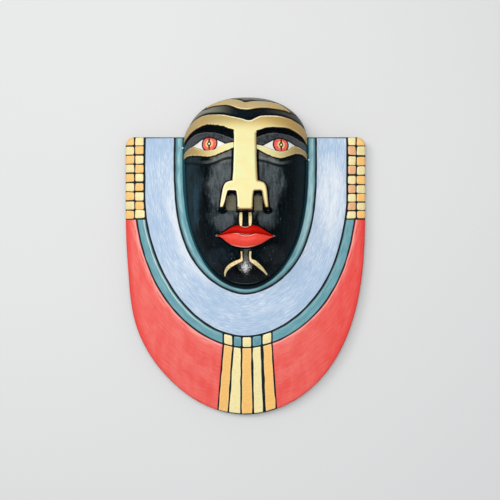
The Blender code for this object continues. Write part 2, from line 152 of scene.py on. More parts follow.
# Torn stretch of the brow's lower edge: where, its half width, size
BROW_TORN = (-0.0280, 0.0150, 0.00050)

# Gold bands, lids and whites: how far under its top an edge is seen, depths, roundings of both edges
# and both ends, lift of the lids' ends, and how far the whites spread and stand out
SEEN_BELOW = 0.0004
GOLD_SKIRT = 0.0030
EYE_SKIRT = 0.0022
BROW_ROUNDS = (0.0007, 0.0007, 0.0001, 0.0001)
CROWN_ROUNDS = (0.0007, 0.0007, 0.0020, 0.0020)
UNDER_EYE_ROUNDS = (0.0008, 0.0007, 0.0012, 0.0012)
LID_ROUNDS = (0.0008, 0.0018, 0.0010, 0.0010)
LID_END_LIFT = 0.0006
WHITE_SPREAD = 0.0009
WHITE_LIFT = 0.0003

# Edges of the raised bands, in (x, y), each from the left to the right
BROW_UPPER = ((-0.076, 0.117), (-0.0665, 0.1316), (-0.0612, 0.1384), (-0.0516, 0.1451),
              (-0.0417, 0.1477), (-0.0321, 0.1471), (-0.0229, 0.1459), (-0.0138, 0.1434),
              (-0.0048, 0.1411), (0.0041, 0.1388), (0.0094, 0.1412), (0.015, 0.1439),
              (0.0229, 0.1449), (0.0319, 0.1454), (0.0413, 0.1444), (0.0509, 0.1423),
              (0.0613, 0.1374), (0.076, 0.1255))
BROW_LOWER = ((-0.076, 0.115), (-0.0665, 0.123), (-0.0555, 0.1313), (-0.0414, 0.1362),
              (-0.0253, 0.1339), (-0.0125, 0.129), (0.0, 0.125), (0.0117, 0.1279),
              (0.0246, 0.1318), (0.0441, 0.1325), (0.0593, 0.1272), (0.069, 0.119),
              (0.076, 0.1105))
CROWN_UPPER = ((-0.0418, 0.1584), (-0.0391, 0.1607), (-0.0334, 0.1633), (-0.0241, 0.1663),
               (-0.0193, 0.167), (-0.0145, 0.1667), (-0.0051, 0.1638), (-0.0004, 0.161),
               (0.0095, 0.1629), (0.0235, 0.1632), (0.0328, 0.1621), (0.0375, 0.1605),
               (0.0422, 0.1573), (0.0455, 0.1546), (0.0478, 0.1527))
CROWN_LOWER = ((-0.0418, 0.1573), (-0.0377, 0.1588), (-0.0329, 0.1592), (-0.0234, 0.159),
               (-0.0187, 0.1583), (-0.0141, 0.1567), (-0.0094, 0.1541), (-0.0057, 0.1527),
               (-0.0003, 0.1518), (0.0041, 0.1519), (0.0094, 0.1532), (0.014, 0.1541),
               (0.0231, 0.1546), (0.0322, 0.1542), (0.0418, 0.1537), (0.0455, 0.1529), (0.0478, 0.1518))

# Eyes: the almond's upper and lower edges, the ends of lid and band, the lid's upper edge, the gold
# band's lower edge, the middle of the iris and the fold under the eye
EYES = {
    "left": {
        "upper": ((-0.0575, 0.1147), (-0.0506, 0.1178), (-0.0449, 0.121), (-0.0377, 0.1223),
                  (-0.0305, 0.12), (-0.0253, 0.1175), (-0.0196, 0.1147)),
        "lower": ((-0.0575, 0.1147), (-0.051, 0.1126), (-0.0458, 0.1109), (-0.0412, 0.1091),
                  (-0.0323, 0.1092), (-0.0287, 0.1112), (-0.0196, 0.1147)),
        "ends": ((-0.074, 0.106), (-0.011, 0.116)),
        "lid": ((-0.074, 0.114), (-0.0654, 0.1192), (-0.0576, 0.1256), (-0.0507, 0.1287),
                (-0.0414, 0.1293), (-0.0324, 0.1281), (-0.0236, 0.1253), (-0.011, 0.1196)),
        "band": ((-0.074, 0.1), (-0.0634, 0.1055), (-0.0505, 0.1044), (-0.0367, 0.1023),
                 (-0.0252, 0.1053), (-0.011, 0.1105)),
        "iris": (-0.0373, 0.116),
        "bag": ((-0.0653, 0.0991), (-0.0554, 0.097), (-0.0449, 0.0942), (-0.0367, 0.094),
                (-0.0287, 0.0961), (-0.0218, 0.0988), (-0.0149, 0.0999)),
    },
    "right": {
        "upper": ((0.0173, 0.1124), (0.0229, 0.1156), (0.0298, 0.1195), (0.036, 0.1211),
                  (0.0432, 0.1198), (0.0487, 0.1175), (0.0539, 0.1153)),
        "lower": ((0.0173, 0.1124), (0.0298, 0.1086), (0.0369, 0.1078), (0.041, 0.1086),
                  (0.0459, 0.1109), (0.0539, 0.1153)),
        "ends": ((0.011, 0.1135), (0.074, 0.108)),
        "lid": ((0.011, 0.1212), (0.0194, 0.1252), (0.0281, 0.1274), (0.0369, 0.1276),
                (0.0478, 0.1263), (0.0574, 0.1228), (0.0661, 0.1196), (0.074, 0.115)),
        "band": ((0.011, 0.1095), (0.0246, 0.1031), (0.0359, 0.1005), (0.0486, 0.105),
                 (0.0553, 0.1074), (0.064, 0.1062), (0.074, 0.099)),
        "iris": (0.0372, 0.1149),
        "bag": ((0.0143, 0.0973), (0.0229, 0.0958), (0.0307, 0.0936), (0.0386, 0.0928),
                (0.0477, 0.0954), (0.0553, 0.0978), (0.0676, 0.1026)),
    },
}

# Painted sheen and painted reflections on the head: x, y, half width, half length, core, share, colour
HEAD_SHEEN_PATCHES = (
    (-0.0170, 0.0760, 0.0300, 0.0480, 0.10, 0.92, (102, 110, 113)),
    (-0.0160, 0.1040, 0.0260, 0.0120, 0.30, 0.70, (124, 124, 118)),
    (0.0180, 0.0740, 0.0290, 0.0500, 0.10, 0.88, (98, 107, 110)),
    (0.0180, 0.1020, 0.0240, 0.0110, 0.30, 0.70, (112, 115, 114)),
    (-0.0250, 0.0460, 0.0200, 0.0300, 0.05, 0.50, (72, 82, 88)),
    (-0.0220, 0.0340, 0.0160, 0.0130, 0.10, 0.60, (90, 96, 100)),
    (0.0245, 0.0380, 0.0130, 0.0170, 0.10, 0.60, (84, 92, 96)),
    (0.0008, -0.0010, 0.0070, 0.0150, 0.10, 0.65, (110, 114, 114)),
    (-0.0560, 0.0750, 0.0150, 0.0650, 0.20, 0.75, (42, 62, 70)),
    (0.0600, 0.0700, 0.0120, 0.0600, 0.20, 0.35, (22, 48, 58)),
    (-0.0516, 0.0530, 0.0050, 0.0300, 0.10, 0.55, (46, 82, 102)),
    (-0.0260, -0.0030, 0.0200, 0.0150, 0.05, 0.38, (50, 68, 78)),
    (0.0300, 0.0010, 0.0180, 0.0140, 0.05, 0.22, (74, 80, 84)),
)

# Painted highlight on the chin: x, y, half width, half length, share, grey
CHIN_SHINE = (
    (0.0008, -0.0090, 0.0110, 0.0160, 0.90, 112),
    (0.0002, -0.0120, 0.0068, 0.0084, 1.30, 226),
)

# Pale spots at the corners of the mouth, partly chips and partly painted highlights, and painted
# shadows at the feet of the nose: x, y, half width, half length
MOUTH_CORNERS = ((-0.0287, 0.0209), (0.0289, 0.0205))
NOSE_FOOT_SHADOWS = ((-0.0230, 0.0462, 0.0058, 0.0040), (0.0233, 0.0466, 0.0060, 0.0046))

# Nose: root and tip as height and depth, where it eases into the brow and where it dips under it;
# then, for the right side, the bar's edge and the wing's outer and inner edges
NOSE_ROOT = (0.1320, 0.0745)
NOSE_TIP = (0.0470, 0.0970)
NOSE_EASE = (0.1160, 0.1290)
NOSE_UNDER_BROW = 0.1290
NOSE_TOP = 0.1365
NOSE_SKIRT = 0.022
NOSE_BAR = ((0.0115, 0.1365), (0.0117, 0.104), (0.0122, 0.085), (0.0128, 0.0757), (0.013, 0.07),
            (0.0108, 0.066), (0.0088, 0.0645), (0.0082, 0.06), (0.0078, 0.054), (0.0077, 0.046))
WING_OUTER = ((0.01, 0.0766), (0.0142, 0.0758), (0.0183, 0.0743), (0.0203, 0.0722),
              (0.0217, 0.068), (0.0228, 0.058), (0.0234, 0.0482))
WING_INNER = ((0.0084, 0.0652), (0.011, 0.0653), (0.0145, 0.0655), (0.0163, 0.0649), (0.017, 0.063),
              (0.0176, 0.059), (0.0186, 0.054), (0.0202, 0.0482))
WING_LEANS = {-1.0: 0.0018, 1.0: 0.0}
WING_SINK = 0.00003

# Strokes under the nose (right side, mirrored) and round the chin: inner and outer edges from the
# top down
PHILTRUM_SHIFT = 0.0004
PHILTRUM_INNER = ((0.0029, 0.0446), (0.0029, 0.04), (0.003, 0.034), (0.0034, 0.03))
PHILTRUM_OUTER = ((0.0062, 0.0446), (0.0067, 0.04), (0.0065, 0.034), (0.0057, 0.03))
CHIN_STROKES = (
    (((-0.0027, 0.0047), (-0.0025, -0.0008), (-0.0024, -0.005), (-0.0068, -0.0076), (-0.0123, -0.0106),
      (-0.0165, -0.0136), (-0.0195, -0.0175), (-0.0212, -0.0223)),
     ((-0.0049, 0.0047), (-0.0047, -0.0008), (-0.0056, -0.0031), (-0.0112, -0.0053), (-0.0164, -0.0083),
      (-0.0202, -0.0121), (-0.0224, -0.0173), (-0.0223, -0.0224))),
    (((0.004, 0.0047), (0.0038, -0.0008), (0.0048, -0.0056), (0.0101, -0.0098), (0.0145, -0.0136),
      (0.0191, -0.0175), (0.0226, -0.0214)),
     ((0.0067, 0.0047), (0.0064, -0.0008), (0.0074, -0.0033), (0.0112, -0.0048), (0.016, -0.0091),
      (0.0199, -0.0136), (0.024, -0.0198))),
)

# Lips, from the left corner to the right
LIP_TOP = ((-0.0283, 0.021), (-0.0217, 0.0244), (-0.0148, 0.029), (-0.01, 0.0309),
           (-0.0062, 0.0314), (0.0002, 0.0299), (0.0066, 0.0316), (0.0104, 0.0311),
           (0.0151, 0.0295), (0.0237, 0.024), (0.0286, 0.0206))
LIP_PARTING = ((-0.0283, 0.0209), (-0.0251, 0.0216), (-0.0148, 0.0232), (-0.0071, 0.0234),
               (-0.0037, 0.0217), (0.0014, 0.0211), (0.0065, 0.0219), (0.0108, 0.023),
               (0.0176, 0.0224), (0.025, 0.021), (0.0286, 0.0205))
LIP_BOTTOM = ((-0.0283, 0.0208), (-0.0235, 0.0182), (-0.0183, 0.0135), (-0.0114, 0.0098),
              (0.002, 0.0082), (0.015, 0.0115), (0.0237, 0.0167), (0.0286, 0.0204))
LIP_EDGE_LIFT = 0.0013
LIP_ROUNDS = (0.0016, 0.0016, 0.0010, 0.0010)

# Each lip: lower and upper edge, colour; specular level, share and ends of the painted highlight along its
#  middle, share of the painted highlight above its lower edge
LIPS = {
    "upper_lip": (LIP_PARTING, LIP_TOP, "lip_dark", (0.04, 0.65, (0.006, 0.002), 0.0)),
    "lower_lip": (LIP_BOTTOM, LIP_PARTING, "lip_red", (0.12, 0.6, (0.015, 0.007), 0.8)),
}

# Stage: camera over the lying mask, floor, sky, and square lamps as name, place, side, power
CAMERA_PLACE = (0.00496, 0.00607, 0.85)
CAMERA_LENS = 54.835
SENSOR = 36.0
FLOOR_REACH = 6.0
FLOOR_LEVEL = -0.0002
SKY_COLOUR = (0.92, 0.96, 1.0, 1.0)
SKY_STRENGTH = 0.30
LAMPS = (("overhead", (-0.05, 0.20, 1.6), 0.9, 17.2), ("upper_left", (-1.0, 0.6, 1.5), 0.7, 8.6))
LAMP_COLOUR = (1.0, 0.99, 0.97)

# Steps of a quarter circle, and the least radius and width in a panel's sums
ROUND_STEPS = 5
LEAST_ROUND = 1e-7
LEAST_WIDTH = 1e-5
MM = 1000.0


def tint(red, green, blue):
    """A linear colour from three 0 to 255 values."""
    share = np.array((red, green, blue)) / 255.0
    linear = np.where(share <= 0.04045, share / 12.92, ((share + 0.055) / 1.055) ** 2.4)
    return tuple(float(value) for value in linear) + (1.0,)


def colour_of(name, what, red, green, blue):
    """A colour setting, with its default in 0 to 255 values."""
    return FloatVectorProperty(name=name, description=what, subtype="COLOR", size=4,
                               min=0.0, max=1.0, default=tint(red, green, blue))


def length_of(name, what, default, low, high):
    """A length setting, in metres."""
    return FloatProperty(name=name, description=what, default=default, min=low, max=high,
                         subtype="DISTANCE", unit="LENGTH", precision=5)


class MaskSizes(bpy.types.PropertyGroup):
    """Lengths that are set once for the whole mask."""
    line_gap: length_of("Line gap", "Black line beside the blue band", 0.0017, 0.0005, 0.004)
    fine_gap: length_of("Fine line gap", "Black lines between beads and stripes", 0.0015, 0.0005, 0.004)
    tile_gap: length_of("Tile gap", "Black lines between tiles", 0.0008, 0.0003, 0.003)
    line_depth: length_of("Line depth", "Depth of the ground under the bands", 0.0015, 0.0005, 0.0028)
    band_slope: length_of("Band slope", "Sloped side of the teal bands", 0.0017, 0.0005, 0.004)
    edge_round: length_of("Edge rounding", "Rounding of the bands' other edges", 0.0007, 0.0001, 0.003)
    gold_lift: length_of("Gold lift", "How far the gold bands stand out of the head", 0.0016, 0.0004, 0.004)
    lid_lift: length_of("Lid lift", "How far the eyelids stand out", 0.0012, 0.0004, 0.004)
    lip_lift: length_of("Lip lift", "Height of the lips at their crest", 0.0032, 0.001, 0.006)
    stroke_lift: length_of("Stroke lift", "Height of the strokes at mouth and chin", 0.0010, 0.0002, 0.003)
    nose_round: length_of("Nose rounding", "Rounding of the nose's front edges", 0.0013, 0.0003, 0.003)
    iris_radius: length_of("Iris radius", "Radius of the painted iris", 0.0083, 0.004, 0.010)
    brush_wobble: length_of("Brush wobble", "How unsteady the painted edges are", 0.00022, 0.0, 0.001)


class MaskColours(bpy.types.PropertyGroup):
    """The mask's paints, and the floor."""
    blue: colour_of("Blue", "Broad blue band", 164, 190, 219)
    blue_light: colour_of("Light blue", "Where the blue band is brushed thin", 222, 230, 240)
    teal: colour_of("Teal", "Both teal bands", 92, 150, 162)
    teal_light: colour_of("Light teal", "Worn parts of the teal bands", 142, 188, 196)
    red: colour_of("Red", "Lower fields of the collar", 232, 80, 74)
    red_light: colour_of("Light red", "Brushed streaks in the red", 241, 121, 112)
    orange: colour_of("Orange", "Tiles and stripes", 251, 197, 110)
    salmon: colour_of("Salmon", "Inner tiles on the right", 235, 178, 126)
    cream: colour_of("Cream", "Tiles, beads and stripes", 248, 232, 168)
    black: colour_of("Black", "Head, and the lines between the bands", 15, 28, 34)
    gold: colour_of("Gold", "Brow and crown bands", 204, 170, 96)
    khaki: colour_of("Khaki", "Dull patches of the gold", 182, 162, 104)
    # Pale gold is laid down the nose and at the inner eyes as a painted reflection.
    pale_gold: colour_of("Pale gold", "Nose and inner corners of the eyes", 237, 223, 160)
    dark_gold: colour_of("Dark gold", "Edges and shaded ends of the gold", 128, 96, 44)
    # The upper lip's deeper red and the lower lip's lighter red are partly paint, partly painted shade and
    # light.
    lip_red: colour_of("Lower lip", "Lower lip", 234, 71, 57)
    lip_dark: colour_of("Upper lip", "Upper lip", 190, 16, 4)
    iris: colour_of("Iris", "Iris", 232, 84, 70)
    body_white: colour_of("Cast", "Unpainted cast at the chips and behind", 232, 228, 220)
    floor: colour_of("Floor", "Studio floor", 223, 223, 224)


# Plane and space curves, as arrays of points

def measure(line):
    """Distance along a polyline at each of its points."""
    steps = np.sqrt((np.diff(line, axis=0) ** 2).sum(axis=1))
    return np.concatenate([[0.0], np.cumsum(steps)])


def at_shares(line, shares):
    """Points of a polyline at shares of its length."""
    along = measure(line)
    place = shares * along[-1]
    return np.stack([np.interp(place, along, line[:, k]) for k in range(line.shape[1])], axis=1)


def portion(line, start, end, count):
    """Points spaced evenly between two shares of a polyline's length."""
    return at_shares(line, np.linspace(start, end, count))


def smooth_line(points, count):
    """A Catmull-Rom curve through the points: on each span a cubic whose slope at a knot is half
    the chord between its neighbours; then spaced evenly by length."""
    knots = np.asarray(points, float)
    knots = np.vstack([2 * knots[0] - knots[1], knots, 2 * knots[-1] - knots[-2]])
    spans = len(points) - 1
    place = np.linspace(0.0, spans, 40 * spans + 1)
    span = np.minimum(place.astype(int), spans - 1)
    share = (place - span)[:, None]
    a, b, c, d = (knots[span + k] for k in range(4))
    curve = 0.5 * (2 * b + (c - a) * share + (2 * a - 5 * b + 4 * c - d) * share ** 2
                   + (3 * b - a - 3 * c + d) * share ** 3)
    return portion(curve, 0.0, 1.0, count)


def shifted(line, distance):
    """A line moved sideways: along a quarter turn of its direction, inwards for a U from the left top."""
    step = np.gradient(line, axis=0)
    step /= np.linalg.norm(step, axis=1, keepdims=True)
    side = distance * np.stack([-step[:, 1], step[:, 0]], axis=1)
    return line + side


def wobble(count, size, seed, knots):
    """An unsteady hand: seeded random values at even knots, joined by cosine easing."""
    values = np.random.default_rng(seed).uniform(-1.0, 1.0, knots + 1)
    place = np.linspace(0.0, knots, count)
    knot = np.minimum(place.astype(int), knots - 1)
    ease = 0.5 - 0.5 * np.cos(np.pi * (place - knot))
    return size * (values[knot] * (1 - ease) + values[knot + 1] * ease)


def unsteady(line, size, seed, knots):
    """A line moved sideways by an unsteady hand."""
    return shifted(line, wobble(len(line), size, seed, knots)[:, None])


def arch(share, powers):
    """Width of an arch: 1 at its spring, 0 at its end."""
    return (1.0 - np.clip(share, 0.0, 1.0) ** powers[0]) ** (1.0 / powers[1])


def u_line(line, count=600):
    """A U from the left top to the right top: straight down to its spring, then an arch, with x the
    half width times a power of the cosine and y falling by a power of the sine; the right side is
    moved out by a raised cosine of the height, eased in from the middle."""
    halves, spring, bottom, powers, (size, height, reach) = line
    turn = np.linspace(0.0, 0.5 * np.pi, 240)
    y = np.append(max(COLLAR_TOP, spring), spring - (spring - bottom) * np.sin(turn) ** (2.0 / powers[0]))
    across = np.append(1.0, np.cos(turn) ** (2.0 / powers[1]))
    across[-1] = 0.0
    full = size * np.cos(0.5 * np.pi * np.clip((y - height) / reach, -1.0, 1.0)) ** 2
    left = np.stack([-halves[0] * across, y], axis=1)
    right = np.stack([halves[1] * across + full * np.minimum(across / FULL_FROM, 1.0), y], axis=1)
    return portion(np.vstack([left, right[-2::-1]]), 0.0, 1.0, count)


def line_x(line, y, side):
    """How far from the middle a U passes a height, on its left (-1) or right side."""
    whole = u_line(line)
    half = whole[whole[:, 0] * side > 0.0]
    order = np.argsort(half[:, 1])
    return abs(float(np.interp(y, half[order, 1], half[order, 0])))


def line_y(line, x):
    """The height at which a U passes an x."""
    whole = u_line(line)
    return float(np.interp(x, whole[:, 0], whole[:, 1]))


def fullness(y):
    """How far the left side stands out: a raised cosine of the height."""
    reach = np.clip((y - COLLAR_FULLEST) / COLLAR_FULL_REACH, -1.0, 1.0)
    return COLLAR_FULLNESS * np.cos(0.5 * np.pi * reach) ** 2


def collar_outline(count=900):
    """The shield from its left top corner round the foot to the right one: a quarter circle, a
    straight side, then an arch; the left side is moved out by a raised cosine of the height."""
    turn = np.linspace(0.5 * np.pi, 0.0, 16)
    corner_x = COLLAR_HALF_WIDTH - COLLAR_CORNER + COLLAR_CORNER * np.cos(turn)
    corner_y = COLLAR_TOP - COLLAR_CORNER + COLLAR_CORNER * np.sin(turn)
    turn = np.linspace(0.0, 0.5 * np.pi, 300)
    drop = (COLLAR_SPRING - COLLAR_BOTTOM) * np.sin(turn) ** (2.0 / COLLAR_POWERS[0])
    x = np.append(corner_x, COLLAR_HALF_WIDTH * np.cos(turn) ** (2.0 / COLLAR_POWERS[1]))
    y = np.append(corner_y, COLLAR_SPRING - drop)
    x[-1] = 0.0
    whole = np.stack([np.append(-x, x[-2::-1]), np.append(y, y[-2::-1])], axis=1)
    whole[:, 0] -= np.where(whole[:, 0] < 0.0, fullness(whole[:, 1]), 0.0)
    return portion(whole, 0.0, 1.0, count)


OUTLINE = collar_outline()


def outline_polar():
    """The outline with its flat top, as the radius over each direction from the dome's centre."""
    top_x = COLLAR_HALF_WIDTH - COLLAR_CORNER
    top = np.stack([np.linspace(top_x, -top_x, 80)[1:-1], np.full(78, COLLAR_TOP)], axis=1)
    closed = np.vstack([OUTLINE, top]) - (0.0, DOME_CENTRE)
    turn = np.arctan2(closed[:, 1], closed[:, 0])
    order = np.argsort(turn)
    return turn[order], np.hypot(*closed.T)[order]


POLAR = outline_polar()


def crossing(line, axis, value, side):
    """Share of a line's length at which x or y passes a value, on its left (-1) or right half."""
    share = measure(line)
    share /= share[-1]
    half = line[:, 0] * side > 0.0
    order = np.argsort(line[half, axis])
    return float(np.interp(value, line[half, axis][order], share[half][order]))


# Surfaces: each takes an array of places (..., 2) and gives points, outward normals and a lift share

def facing_up(points):
    """Points with +Z as their normals and the whole lift."""
    normals = np.zeros_like(points)
    normals[..., 2] = 1.0
    return points, normals, np.ones_like(points[..., 0])


def eased(value, low, high):
    """0 to 1 while a value goes from low to high, as s^2 (3 - 2 s) of its share s."""
    share = np.clip((value - low) / (high - low), 0.0, 1.0)
    return share * share * (3.0 - 2.0 * share)


def dome(places, rim=False):
    """The collar's front: the rim's height plus a parabola of the share from the dome's centre to
    the outline; with rim, less a quarter circle over the last few millimetres."""
    x, y = places[..., 0], places[..., 1]
    reach = np.hypot(x, y - DOME_CENTRE)
    edge = np.interp(np.arctan2(y - DOME_CENTRE, x), *POLAR, period=2 * np.pi)
    flat = 1.0 - RIM_ROUND / COLLAR_HALF_WIDTH
    z = RIM_HEIGHT + DOME_RISE * np.maximum(1.0 - (reach / edge / flat) ** 2, 0.0)
    if rim:
        z = z - rounded(edge - reach, RIM_ROUND)
    return facing_up(np.stack([x, y, z], axis=-1))


def over_rim(places):
    """The collar's front with its rounded rim."""
    return dome(places, rim=True)


def rounded(distance, radius):
    """How far a quarter circle of a radius lies below its top, at a distance from the edge."""
    inside = np.clip((radius - distance) / radius, 0.0, 1.0)
    return radius * (1.0 - np.sqrt(1.0 - inside ** 2))


def head_half_width(y):
    """Half the head's width: an arch up to the crown and another down to the chin."""
    crown = arch((y - CROWN_SPRING) / (CROWN_TOP - CROWN_SPRING), CROWN_POWERS)
    chin = arch((CHIN_SPRING - y) / (CHIN_SPRING - CHIN_BOTTOM), CHIN_POWERS)
    return HEAD_HALF_WIDTH * np.where(y > CROWN_SPRING, crown, chin)


def head_lean(y):
    """How far the crown stands to the right, eased in over the brow."""
    lean, low, high = CROWN_LEAN
    return lean * eased(y, low, high)


def head_depth(y):
    """The head's depth along its middle: an arch up the forehead and another down the jaw."""
    forehead = arch((y - PROFILE_SPRING) / (CROWN_TOP - PROFILE_SPRING), FOREHEAD_POWERS)
    jaw = arch((PROFILE_SPRING - y) / (PROFILE_SPRING - CHIN_BOTTOM), JAW_POWERS)
    return (HEAD_DEPTH - HEAD_UNDER) * np.where(y > PROFILE_SPRING, forehead, jaw)


def head_reach():
    """The heights between which the egg stands over its back plane."""
    y = np.linspace(CHIN_BOTTOM, CROWN_TOP, 20001)
    over = y[head_depth(y) + HEAD_UNDER > BACK_LIFT]
    return over[0], over[-1]


HEAD_LOW, HEAD_HIGH = head_reach()


def back_turn(y):
    """The turn from the front at which the head meets its back plane."""
    rest = np.clip((BACK_LIFT - HEAD_UNDER) / np.maximum(head_depth(y), 1e-6), 0.0, 1.0)
    return np.arcsin((1.0 - rest ** 2) ** (1.0 / CHEEK_POWER))


def swelling(x, y, swellings):
    """Sum of bumps h (1 - r)^2 (1 + 2 r), with r the squared elliptic distance, up to 1."""
    total = np.zeros_like(x)
    for centre_x, centre_y, half_width, half_length, height in swellings:
        r = np.minimum(((x - centre_x) / half_width) ** 2 + ((y - centre_y) / half_length) ** 2, 1.0)
        total += height * (1.0 - r) ** 2 * (1.0 + 2.0 * r)
    return total


def polyline_distance(x, y, points):
    """Distance from places to a polyline: the least over its spans."""
    best = np.full_like(x, 1.0)
    for (ax, ay), (bx, by) in zip(points, points[1:]):
        dx, dy = bx - ax, by - ay
        share = np.clip(((x - ax) * dx + (y - ay) * dy) / (dx * dx + dy * dy), 0.0, 1.0)
        best = np.minimum(best, np.hypot(x - ax - share * dx, y - ay - share * dy))
    return best


def head_point(place, height, swellings):
    """The egg: x = half width(y) sin(a) and z = under + (depth(y) + swelling) sqrt(1 - |sin a|^2.4),
    where the turn a is the place, -1 to 1, times the turn at which the head meets its back."""
    turn = place * back_turn(height)
    across = np.abs(np.sin(turn))
    up = np.sqrt(np.maximum(1.0 - across ** CHEEK_POWER, 0.0))
    x = np.sign(place) * head_half_width(height) * across
    z = HEAD_UNDER + (head_depth(height) + swelling(x, height, swellings)) * up
    return np.stack([x + head_lean(height), height, z], axis=-1), up


def head(places, swellings=SWELLINGS):
    """The head's surface with its normals, from small steps across and along."""
    place = np.clip(places[..., 0], -0.9995, 0.9995)
    height = np.clip(places[..., 1], HEAD_LOW + 0.0004, HEAD_HIGH - 0.0004)
    small = 1e-4
    right, left, over, under = (head_point(place + across, height + up, swellings)[0] for across, up in (
        (small, 0.0), (-small, 0.0), (0.0, small), (0.0, -small)))
    normals = np.cross(right - left, over - under)
    normals /= np.maximum(np.linalg.norm(normals, axis=-1, keepdims=True), 1e-12)
    points, up = head_point(places[..., 0], places[..., 1], swellings)
    return points, normals, np.minimum(LIFT_FADE[0] + LIFT_FADE[1] * up, 1.0)


def bare_head(places):
    """The head without its hollows and swellings, for bands that run straight over them."""
    return head(places, ())


def head_place(line):
    """A line in (x, y) as (place, height) on the head: the turn whose sine is x over the half width."""
    x, y = line[:, 0] - head_lean(line[:, 1]), line[:, 1]
    share = np.minimum(np.abs(x) / np.maximum(head_half_width(y), 1e-6), 1.0)
    turn = np.minimum(np.arcsin(share) / back_turn(y), 1.0)
    return np.stack([np.sign(x) * turn, y], axis=1)


def nose_surface(places):
    """Front of the nose: a slope out to the tip, eased over its root into the curve of the brow band,
    which it stands above by a hair and then dips under."""
    x, y = places[..., 0], places[..., 1]
    slope = (NOSE_TIP[1] - NOSE_ROOT[1]) / (NOSE_ROOT[0] - NOSE_TIP[0])
    front = NOSE_ROOT[1] + slope * (NOSE_ROOT[0] - y)
    share = np.abs(x) / head_half_width(y)
    brow = HEAD_UNDER + head_depth(y) * np.sqrt(1.0 - share ** CHEEK_POWER) + sizes().gold_lift
    over = np.interp(y, (NOSE_UNDER_BROW, NOSE_TOP), (0.0001, -0.0006))
    ease = eased(y, *NOSE_EASE)
    return facing_up(np.stack([x, y, front * (1.0 - ease) + (brow + over) * ease], axis=-1))


def wing_surface(places):
    """The front of the nose's wings, a hair behind the bar's."""
    points, normals, fade = nose_surface(places)
    return points - (0.0, 0.0, WING_SINK), normals, fade


# Meshes

def grid_faces(rows, columns):
    """Quads of a grid of points, whose rows close on themselves."""
    row = np.arange(rows - 1)[:, None]
    column = np.arange(columns)[None, :]
    after = (column + 1) % columns
    quads = [row * columns + column, (row + 1) * columns + column,
             (row + 1) * columns + after, row * columns + after]
    return np.stack(quads, axis=-1).reshape(-1, 4)


def set_measure(mesh, key, values):
    """Keep a number, or three, at each point of a mesh, for its finish to read."""
    kind, field = ("FLOAT_VECTOR", "vector") if values.ndim == 2 else ("FLOAT", "value")
    layer = mesh.attributes.new(key, kind, "POINT")
    layer.data.foreach_set(field, values.astype(np.float32).ravel())


def places_of(item):
    """The points of a finished piece."""
    places = np.empty(len(item.data.vertices) * 3, np.float32)
    item.data.vertices.foreach_get("co", places)
    return places.reshape(-1, 3).astype(float)


class Shell:
    """Points, faces and painted measures of one piece, gathered from its parts. The measures, in mm,
    are lay (distance along a panel and from its two edges), drop (how far down a rounding or wall a
    point lies) and edge (distance from the nearest edge); mark is a share from 0 to 1."""

    def __init__(self):
        self.points, self.faces = [], []
        self.measures = {"lay": [], "drop": [], "edge": [], "mark": []}
        self.count = 0

    def add(self, points, lay, drop, edge, caps, mark=0.0):
        """One closed grid (rows, columns, 3), with the first and last rows filled where caps says."""
        rows, columns = points.shape[:2]
        faces = (grid_faces(rows, columns) + self.count).tolist()
        if caps[0]:
            faces.append(list(range(self.count, self.count + columns)))
        if caps[1]:
            last = self.count + (rows - 1) * columns
            faces.append(list(range(last + columns - 1, last - 1, -1)))
        self.points.append(points.reshape(-1, 3))
        self.faces.append(faces)
        for key, values in (("lay", lay), ("drop", drop), ("edge", edge), ("mark", mark)):
            width = (3,) if key == "lay" else ()
            whole = np.broadcast_to(values, (rows, columns) + width)
            self.measures[key].append(whole.reshape((-1,) + width))
        self.count += rows * columns

    def piece(self, name, finish, sharp=35.0):
        """Weld each part, turn it outwards and make the object of them all."""
        mesh = bpy.data.meshes.new(name)
        mesh.from_pydata(np.vstack(self.points), [], [face for faces in self.faces for face in faces])
        for key, parts in self.measures.items():
            set_measure(mesh, key, np.concatenate(parts))
        bm = bmesh.new()
        bm.from_mesh(mesh)
        bmesh.ops.remove_doubles(bm, verts=bm.verts, dist=1e-7)
        bmesh.ops.dissolve_degenerate(bm, edges=bm.edges, dist=1e-8)
        bmesh.ops.recalc_face_normals(bm, faces=bm.faces)
        bm.to_mesh(mesh)
        bm.free()
        mesh.polygons.foreach_set("use_smooth", np.ones(len(mesh.polygons), bool))
        mesh.set_sharp_from_angle(angle=math.radians(sharp))
        mesh.materials.append(finish)
        item = bpy.data.objects.new(name, mesh)
        bpy.context.scene.collection.objects.link(item)
        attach(item, "root")
        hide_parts(NODE)
        return item


QUARTER = 1.0 - np.cos(np.linspace(0.0, 0.5 * np.pi, ROUND_STEPS + 1))


def stations(lengths, first, last, steps):
    """Distances over stretches of given lengths: on a quarter circle at both ends, even between.
    Gives back the two radii too, which are cut to 0.45 of a stretch."""
    lengths = np.atleast_1d(lengths)[:, None]
    first = np.minimum(first, 0.45 * lengths)
    last = np.minimum(last, 0.45 * lengths)
    even = np.linspace(0.0, 1.0, steps + 1)[1:-1]
    middle = first + (lengths - first - last) * even
    return np.hstack([first * QUARTER, middle, lengths - last * QUARTER[::-1]]), first, last


def with_walls(values):
    """Rows of values with their first and last repeated, for a panel's two walls."""
    return np.concatenate([values[:, :1], values, values[:, -1:]], axis=1)


